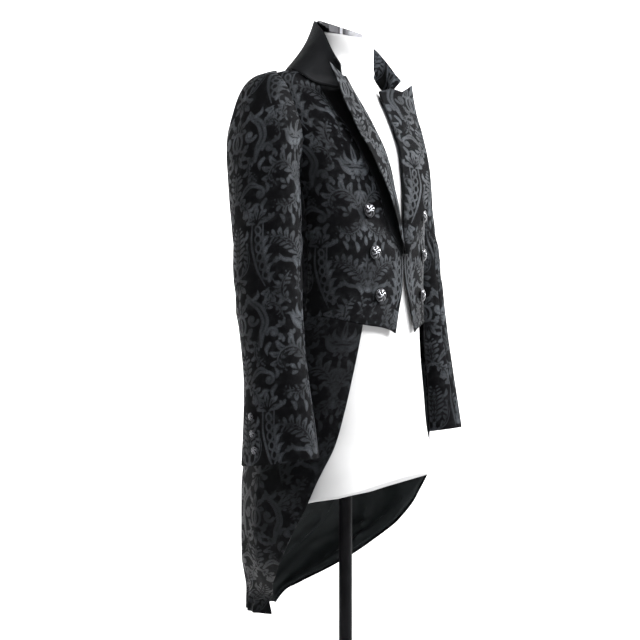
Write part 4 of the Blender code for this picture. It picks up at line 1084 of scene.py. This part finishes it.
def make_body():
    """Foreparts, side bodies, backs, skirts, linings and bands."""
    grids = {"forepart": forepart_grid(), "side_body": side_body_grid(), "back": back_grid(), "skirt": skirt_grid()}
    for name, (angles, heights) in grids.items():
        for side_name, side in SIDES:
            fine, base, normal = body_piece(drawn_in(angles, heights, side), heights)
            cloth_piece(name, side_name, side, base, normal, body_place(fine, GRAIN[name]))
    # Lining of skirt and back in one, below the waist
    tail = slice(0, len(TAIL_LEVELS) - 1)
    angles, heights = (np.concatenate([skirt[tail], back[tail, 1:]], axis=1)
                       for skirt, back in zip(grids["skirt"], grids["back"]))
    for side_name, side in SIDES:
        fine, base, normal = body_piece(drawn_in(angles, heights, side), heights, PLAIN_SPACING)
        base = base - normal * LINING_GAP
        place = trimmed(body_place(fine, GRAIN["skirt"]), base)
        cloth_piece("tail_lining", side_name, side, trimmed(base, base), trimmed(normal, base), place)
    # Band under the lapel, from the break up
    angles, heights = grids["forepart"]
    low = int(np.searchsorted(heights[:, 0], BREAK_HEIGHT)) - 1
    angles, heights = angles[low:, :BAND_COLUMNS].copy(), heights[low:, :BAND_COLUMNS].copy()
    part = (BREAK_HEIGHT - heights[0, 0]) / (heights[1, 0] - heights[0, 0])
    angles[0] += part * (angles[1] - angles[0])
    heights[0] += part * (heights[1] - heights[0])
    fine, base, normal = body_piece(angles, heights, PLAIN_SPACING)
    both_sides("lapel_band", base, normal, cloth_place(base, np.zeros(len(base))))


# Sizes that set how many points a piece gets
LAPEL_SIZE = (0.335, 0.11)
COLLAR_SIZE = (0.20, 0.12)
SLEEVE_WIDTHS = (0.24, 0.22)
# Peak of the lapel: how far its top edge rises, from the roll line to the tip
PEAK = ((0, 0.3, 0.6, 0.85, 1), (0.010, 0.007, -0.008, -0.002, 0.004))
PEAK_FROM = 0.84
LAPEL_BOW = 0.06
NECK_MIDDLE = 0.02
COLLAR_HOLLOW = 0.005
# Flattening of the sleeve head: depth, height, spread up and down, and how far from the top edge it sets in
HEAD_FLAT, HEAD_HEIGHT, HEAD_SPREAD, HEAD_START = 0.0065, 1.205, 0.045, 0.022


def make_lapels():
    """Peaked lapels standing off the chest."""
    rows, columns = (int(size / SPACING) for size in LAPEL_SIZE)
    heights = np.linspace(LAPEL["height"][0], LAPEL["height"][-1], rows)
    across = np.linspace(0, 1, columns)
    roll = body_point(angle_of(LAPEL.at("roll", heights), heights), heights, BROCADE + 2 * LAY_GAP + PLAIN_CLOTH)
    edge = np.stack([LAPEL.at(name, heights) for name in ("edge_x", "edge_y", "edge_z")], axis=-1)
    grid = roll[:, None, :] + (edge - roll)[:, None, :] * across[None, :, None]
    up = eased((np.linspace(0, 1, rows) - PEAK_FROM) / (1 - PEAK_FROM))
    reach = up[:, None] * np.interp(across, *PEAK)[None, :]
    grid = grid + reach[..., None] * unit(grid[-1] - grid[-5])[None]
    bow = LAPEL_BOW * np.linalg.norm(edge - roll, axis=-1)[:, None] * np.sin(np.pi * across)[None, :]
    normal = grid_normals(grid)
    base = grid + normal * bow[..., None]
    both_sides("lapel", base, normal, cloth_place(base, np.zeros(len(base))))


def make_collar():
    """Raised collar with a plain outer face and a brocade inner face."""
    steps = np.linspace(0, 1, int(COLLAR_SIZE[0] / SPACING))
    rise = np.linspace(-0.05, 1, int(COLLAR_SIZE[1] / SPACING))
    hollow = np.sin(np.pi * np.clip(rise, 0, 1))
    seam_angle = COLLAR.at("seam_angle", steps)
    seam_height = NECKLINE.at("height", seam_angle) - COLLAR.at("seam_drop", steps)
    top = np.stack([COLLAR.at(name, steps) for name in ("top_x", "top_y", "top_z")], axis=-1)
    seam = body_point(seam_angle, seam_height, COLLAR.at("seam_lift", steps))
    half = seam[None, :, :] + (top - seam)[None, :, :] * rise[:, None, None]
    outward = unit((half - np.array([0.0, NECK_MIDDLE, 0.0])) * np.array([1.0, 1.0, 0.0]))
    half = half - outward * (COLLAR_HOLLOW * hollow)[:, None, None]
    half[..., 2] -= hollow[:, None] * COLLAR.at("sag", steps)[None, :]
    whole = np.concatenate([half[:, :0:-1] * np.array([-1.0, 1.0, 1.0]), half], axis=1)
    middle = len(steps) - 1
    whole[:, middle, 0] = 0.0
    normal = grid_normals(whole)
    if normal[0, middle, 1] < 0:
        normal = -normal
    place = cloth_place(whole, -gaps(whole, 1)[:, :middle].sum(axis=1))
    cloth_piece("collar_under", "", 1.0, whole, normal, place)
    cloth_piece("collar_top", "", 1.0, whole, -normal, place)


def make_sleeves():
    """Top and under sleeves."""
    front, back = SLEEVE_FRONT_SEAM, SLEEVE_BACK_SEAM
    count_top, count_under = (int(width / SPACING) for width in SLEEVE_WIDTHS)
    under = np.linspace(back, front + 360.0, count_under)[1:]
    whole, fine = refined(sleeve_grid(np.concatenate([np.linspace(front, back, count_top), under])))
    normal = grid_normals(np.concatenate([whole[:, -2:-1], whole, whole[:, 1:2]], axis=1))[:, 1:-1]
    section = whole[len(fine) // 2]
    if ((section - section.mean(axis=0)) * normal[len(fine) // 2]).sum() < 0:
        normal = -normal
    head = HEAD_FLAT * np.exp(-((whole[..., 2] - HEAD_HEIGHT) / HEAD_SPREAD) ** 2)
    head *= np.clip(fine / HEAD_START, 0, 1)[:, None]
    whole = whole - normal * head[..., None]
    whole, normal = whole[::-1], normal[::-1]
    for name, columns in (("sleeve_top", slice(0, count_top)), ("sleeve_under", slice(count_top - 1, None))):
        base = whole[:, columns]
        both_sides(name, base, normal[:, columns], cloth_place(base, -gaps(base, 1).sum(axis=1) / 2))


# Button: radius and height of its rings as parts of its diameter, up to the edge of the dome
BUTTON_RINGS = [(0.13, 0.0), (0.15, 0.03), (0.15, 0.08), (0.34, 0.085), (0.44, 0.09), (0.485, 0.105), (0.5, 0.13),
                (0.49, 0.155), (0.47, 0.17), (0.455, 0.172)]
BEADS = 26


def make_button(node, base, normal, diameter, fine):
    """Domed button in dark relief: a beaded rim, curling leaves round a raised centre, and a shank."""
    normal = unit(normal)
    first = unit(np.cross(normal, [0.0, 0.0, 1.0]))
    second = np.cross(normal, first)
    around = 96 if fine else 48
    turn = circle(around)
    dome = np.linspace(0.45, 0.0, 26 if fine else 13)
    profile = BUTTON_RINGS + [(r, 0.165 + 0.145 * math.sqrt(max(0.0, 1 - (r / 0.46) ** 2))) for r in dome]
    rings, relief = [], []
    for i, (radius, height) in enumerate(profile):
        lift = np.zeros(around)
        worn = np.full(around, 0.3)
        if 4 <= i <= 7:
            bead = 0.5 + 0.5 * np.cos(BEADS * turn)
            lift = 0.012 * bead
            worn = 0.35 + 0.5 * bead
        if i >= len(BUTTON_RINGS):
            share = radius / 0.45
            leaf = np.cos(6 * turn + 5.5 * share) * np.sin(np.pi * min(1.0, share * 1.05)) ** 0.6
            curl = np.cos(12 * turn - 9 * share + 0.8) * np.sin(np.pi * share)
            core = math.exp(-(share / 0.20) ** 2)
            worn = np.clip(0.42 + 0.42 * leaf + 0.16 * curl + 0.7 * core, 0, 1)
            lift = 0.030 * (worn - 0.4)
        ring = base + normal * ((height + lift)[:, None]) * diameter
        rings.append(ring + radius * diameter * (np.cos(turn)[:, None] * first + np.sin(turn)[:, None] * second))
        relief.append(worn)
    number = np.arange(len(rings) * around).reshape(len(rings), around)
    thing = mesh_object("metal_" + node, np.concatenate(rings), [ring_faces(number), number[:1, ::-1]])
    keep_value(thing, "relief", np.concatenate(relief)[:, None])
    work = bmesh.new()
    work.from_mesh(thing.data)
    bmesh.ops.remove_doubles(work, verts=work.verts, dist=0.00002)
    bmesh.ops.recalc_face_normals(work, faces=work.faces)
    work.to_mesh(thing.data)
    work.free()
    thing.data.materials.append(BUTTON)
    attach(thing, "root")
    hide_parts(node)


def make_buttons():
    """Buttons of the fronts and the cuffs."""
    for side_name, side in SIDES:
        flip = np.array([side, 1.0, 1.0])
        for i, (half_width, height) in enumerate(zip(*FRONT_BUTTONS.values())):
            angle = angle_of(half_width, height)
            base = body_point(angle, height, BROCADE + 0.0001)
            out = body_point(angle, height, 0.01) - body_point(angle, height, 0.0)
            make_button(f"front_button_{side_name}_{i + 1}", base * flip, out * flip, FRONT_BUTTON, True)
        for i, (height, around) in enumerate(zip(*CUFF_BUTTONS.values())):
            grid = sleeve_grid(around + np.array([-2, 0, 2]))
            normals, line = grid_normals(grid)[:, 1], grid[:, 1]
            at = np.interp(-height, -line[5:, 2], np.arange(5, len(line)))
            low = int(at)
            base, out = (rows[low] * (1 - at + low) + rows[low + 1] * (at - low) for rows in (line, normals))
            out = unit(out * np.sign(out[0]))
            base = base + out * (BROCADE + 0.0002)
            make_button(f"cuff_button_{side_name}_{i + 1}", base * flip, out * flip, CUFF_BUTTON, False)


# How far the form's bottom edge rises at each angle round the body, front first
EDGE_RISE = ([0, 15, 30, 45, 60, 75, 100, 120, 180], [0.0225, 0.0190, 0.0135, 0.0110, 0.0125, 0.0145, 0.0080, 0.0, 0.0])
FORM_LEVELS = [0.500, 0.504, 0.560, 0.620, 0.690, 0.760, 0.820, 0.870, 0.920, 0.970, 1.020, 1.070, 1.110, 1.145, 1.175,
               1.200, 1.220, 1.236, 1.249, 1.258, 1.265, 1.272, 1.279, 1.286, 1.292]
# Rings from the shoulders to the neck: height, half width, half depth at the back
FORM_NECK = ((1.299, 0.0760, 0.0720), (1.308, 0.0660, 0.0630), (1.321, 0.0585, 0.0570), (1.338, 0.0540, 0.0535))
# Pressed seams: x at three heights, and whether they run down the front
FORM_SEAM_HEIGHTS = (0.5, 0.88, 1.2)
FORM_SEAMS = ((0.0, 0.0, 0.0, True), (0.085, 0.062, 0.095, True), (-0.085, -0.062, -0.095, True),
              (0.0, 0.0, 0.0, False), (0.09, 0.06, 0.09, False), (-0.09, -0.06, -0.09, False))
HOLLOW_RADIUS = 0.060
# The hem of the form turns in by this; its slope and its arch fade out below these heights, over these lengths
FORM_TURN_IN = 0.006
SLOPE_FADE, ARCH_FADE = (0.62, 0.12), (0.80, 0.30)
NECK_JOIN_FROM = 1.15
# Sloped top of the neck: its height in the middle and its slope; the neck's front is flatter by this share
NECK_TOP, NECK_TOP_SLOPE, NECK_FRONT = 1.3596, 0.24, 0.8


def make_form():
    """White jersey form in fine rings, with its pressed seams."""
    half = 72
    turn = np.concatenate([np.linspace(0, 180, half + 1), np.linspace(180, 0, half + 1)[1:-1]])
    count = len(turn)
    sin, cos = np.sin(circle(count)), np.cos(circle(count))
    sign = np.where(np.arange(count) <= half, 1.0, -1.0)
    rings = []
    for height in FORM_LEVELS:
        front, back = EASE.at("front", height), EASE.at("back", height)
        ease = front + (back - front) * (1 - np.cos(np.radians(turn))) / 2
        if height == FORM_BOTTOM:
            ease = ease + FORM_TURN_IN
        low = np.clip((SLOPE_FADE[0] - height) / SLOPE_FADE[1], 0, 1)
        arch = np.clip((ARCH_FADE[0] - height) / ARCH_FADE[1], 0, 1) ** 2
        ring = body_point(turn, height - FORM_DROP * low, -ease, folds=False)
        ring[:, 0] *= sign
        ring[:, 2] += low * FORM_BOTTOM_SLOPE * ring[:, 1] + arch * np.interp(turn, *EDGE_RISE)
        rings.append(neck_joined(ring) if height > NECK_JOIN_FROM else ring)
    for height, half_width, back in FORM_NECK:
        ring = np.stack([half_width * sin, -cos, np.full(count, height)], axis=-1)
        ring[:, 1] *= np.where(ring[:, 1] > 0, back, NECK_FRONT * NECK_RADIUS)
        rings.append(neck_joined(ring))
    top = NECK_TOP - NECK_TOP_SLOPE * NECK_RADIUS * cos
    rings.append(np.stack([NECK_RADIUS * sin, -NECK_RADIUS * cos, top], axis=-1))
    rings = np.stack(rings)
    upper, _ = refined(rings[1:], 170)
    rim = np.stack([HOLLOW_RADIUS * sin, -HOLLOW_RADIUS * cos,
                    FORM_BOTTOM - HOLLOW_RADIUS * FORM_BOTTOM_SLOPE * cos], axis=-1)
    whole = np.concatenate([rim[None], rings[:1], upper])
    number = np.arange(whole.shape[0] * count).reshape(whole.shape[0], count)
    ends = np.stack([number[0, ::-1], number[-1]])
    thing = mesh_object("jersey_torso", whole.reshape(-1, 3), [ring_faces(number), ends], flat_ends=True)
    across = running(gaps(whole, 1), 1)
    seam = np.full(whole.shape[:2], FAR_FROM_EDGE)
    for *line, front in FORM_SEAMS:
        gap = np.abs(whole[..., 0] - np.interp(whole[..., 2], FORM_SEAM_HEIGHTS, line))
        seam = np.where((whole[..., 1] < 0.03) == front, np.minimum(seam, gap), seam)
    keep_value(thing, "place", np.stack([across, whole[..., 2]], axis=-1).reshape(-1, 2))
    keep_value(thing, "seam", seam.reshape(-1, 1))
    thing.data.materials.append(JERSEY)
    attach(thing, "root")
    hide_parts("form_torso")


# Lights: place, size, power, what they point at, spread
LIGHTS = {
    "key": ((1.5, -1.7, 2.1), 0.9, 168.0, (0.0, 0.0, 1.10), 180),
    "side": ((-2.2, 0.6, 1.9), 1.2, 6.0, (-0.2, 0.0, 1.00), 180),
    "top": ((-0.30, -1.25, 2.35), 0.6, 48.0, (-0.05, 0.0, 1.30), 180),
    "collar": ((-0.95, -1.05, 1.62), 0.08, 1.2, (0.10, -0.04, 1.41), 9),
    "backdrop_left": ((-0.8, 3.0, 3.2), 2.0, 260.0, (2.4, 5.0, 1.2), 180),
    "backdrop_right": ((3.0, 0.2, 3.2), 2.0, 260.0, (5.2, 1.8, 1.2), 180),
}
WORLD_STRENGTH = 0.22
# The floor: radius of its level part, of its upward curve, how high its wall goes, and points round it
FLOOR_REACH, FLOOR_CURVE, FLOOR_AROUND = 4.0, 1.5, 96
FLOOR_WALL = (3.0, 5.2)
FLOOR_DROP = 0.0005


def make_room():
    """Pale round floor that curves up all round, and soft studio light."""
    bend = np.linspace(0, math.pi / 2, 16)[1:]
    line = [(0.5, 0.0), (2.0, 0.0), (FLOOR_REACH, 0.0)]
    line += [(FLOOR_REACH + FLOOR_CURVE * math.sin(t), FLOOR_CURVE * (1 - math.cos(t))) for t in bend]
    line += [(FLOOR_REACH + FLOOR_CURVE, height) for height in FLOOR_WALL]
    points = [(r * math.cos(t), r * math.sin(t), z - FLOOR_DROP) for r, z in line for t in circle(FLOOR_AROUND)]
    number = np.arange(len(points)).reshape(len(line), FLOOR_AROUND)
    floor = mesh_object("floor", points, [number[:1], ring_faces(number)[:, ::-1]], flat_ends=True)
    n = Nodes("pale_floor")
    shade = n.mix(n.noise(n.object_place(), 3.0), (0.76, 0.76, 0.76), (0.79, 0.79, 0.79))
    floor.data.materials.append(n.put(base=shade, rough=0.9, specular=0.1))
    world = bpy.data.worlds.new("studio")
    world.use_nodes = True
    world.node_tree.nodes["Background"].inputs["Color"].default_value = (1, 1, 1, 1)
    world.node_tree.nodes["Background"].inputs["Strength"].default_value = WORLD_STRENGTH
    bpy.context.scene.world = world
    bpy.context.scene.view_settings.view_transform = "Standard"
    for name, (at, size, power, aim, spread) in LIGHTS.items():
        data = bpy.data.lights.new(name, "AREA")
        data.energy = power
        data.shape = "DISK"
        data.size = size
        data.spread = math.radians(spread)
        light = bpy.data.objects.new(name, data)
        light.location = at
        towards = np.array(aim) - np.array(at)
        pitch = math.acos(-towards[2] / np.linalg.norm(towards))
        light.rotation_euler = (pitch, 0.0, math.atan2(towards[0], -towards[1]) + math.pi)
        bpy.context.scene.collection.objects.link(light)


make_body()
make_lapels()
make_collar()
make_sleeves()
make_buttons()
make_form()
for node, material in (("form_neck_cap", CHROME), ("form_pole", STAND), ("form_base", STAND)):
    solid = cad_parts[node]
    solid.data.materials.clear()
    solid.data.materials.append(material)
make_room()
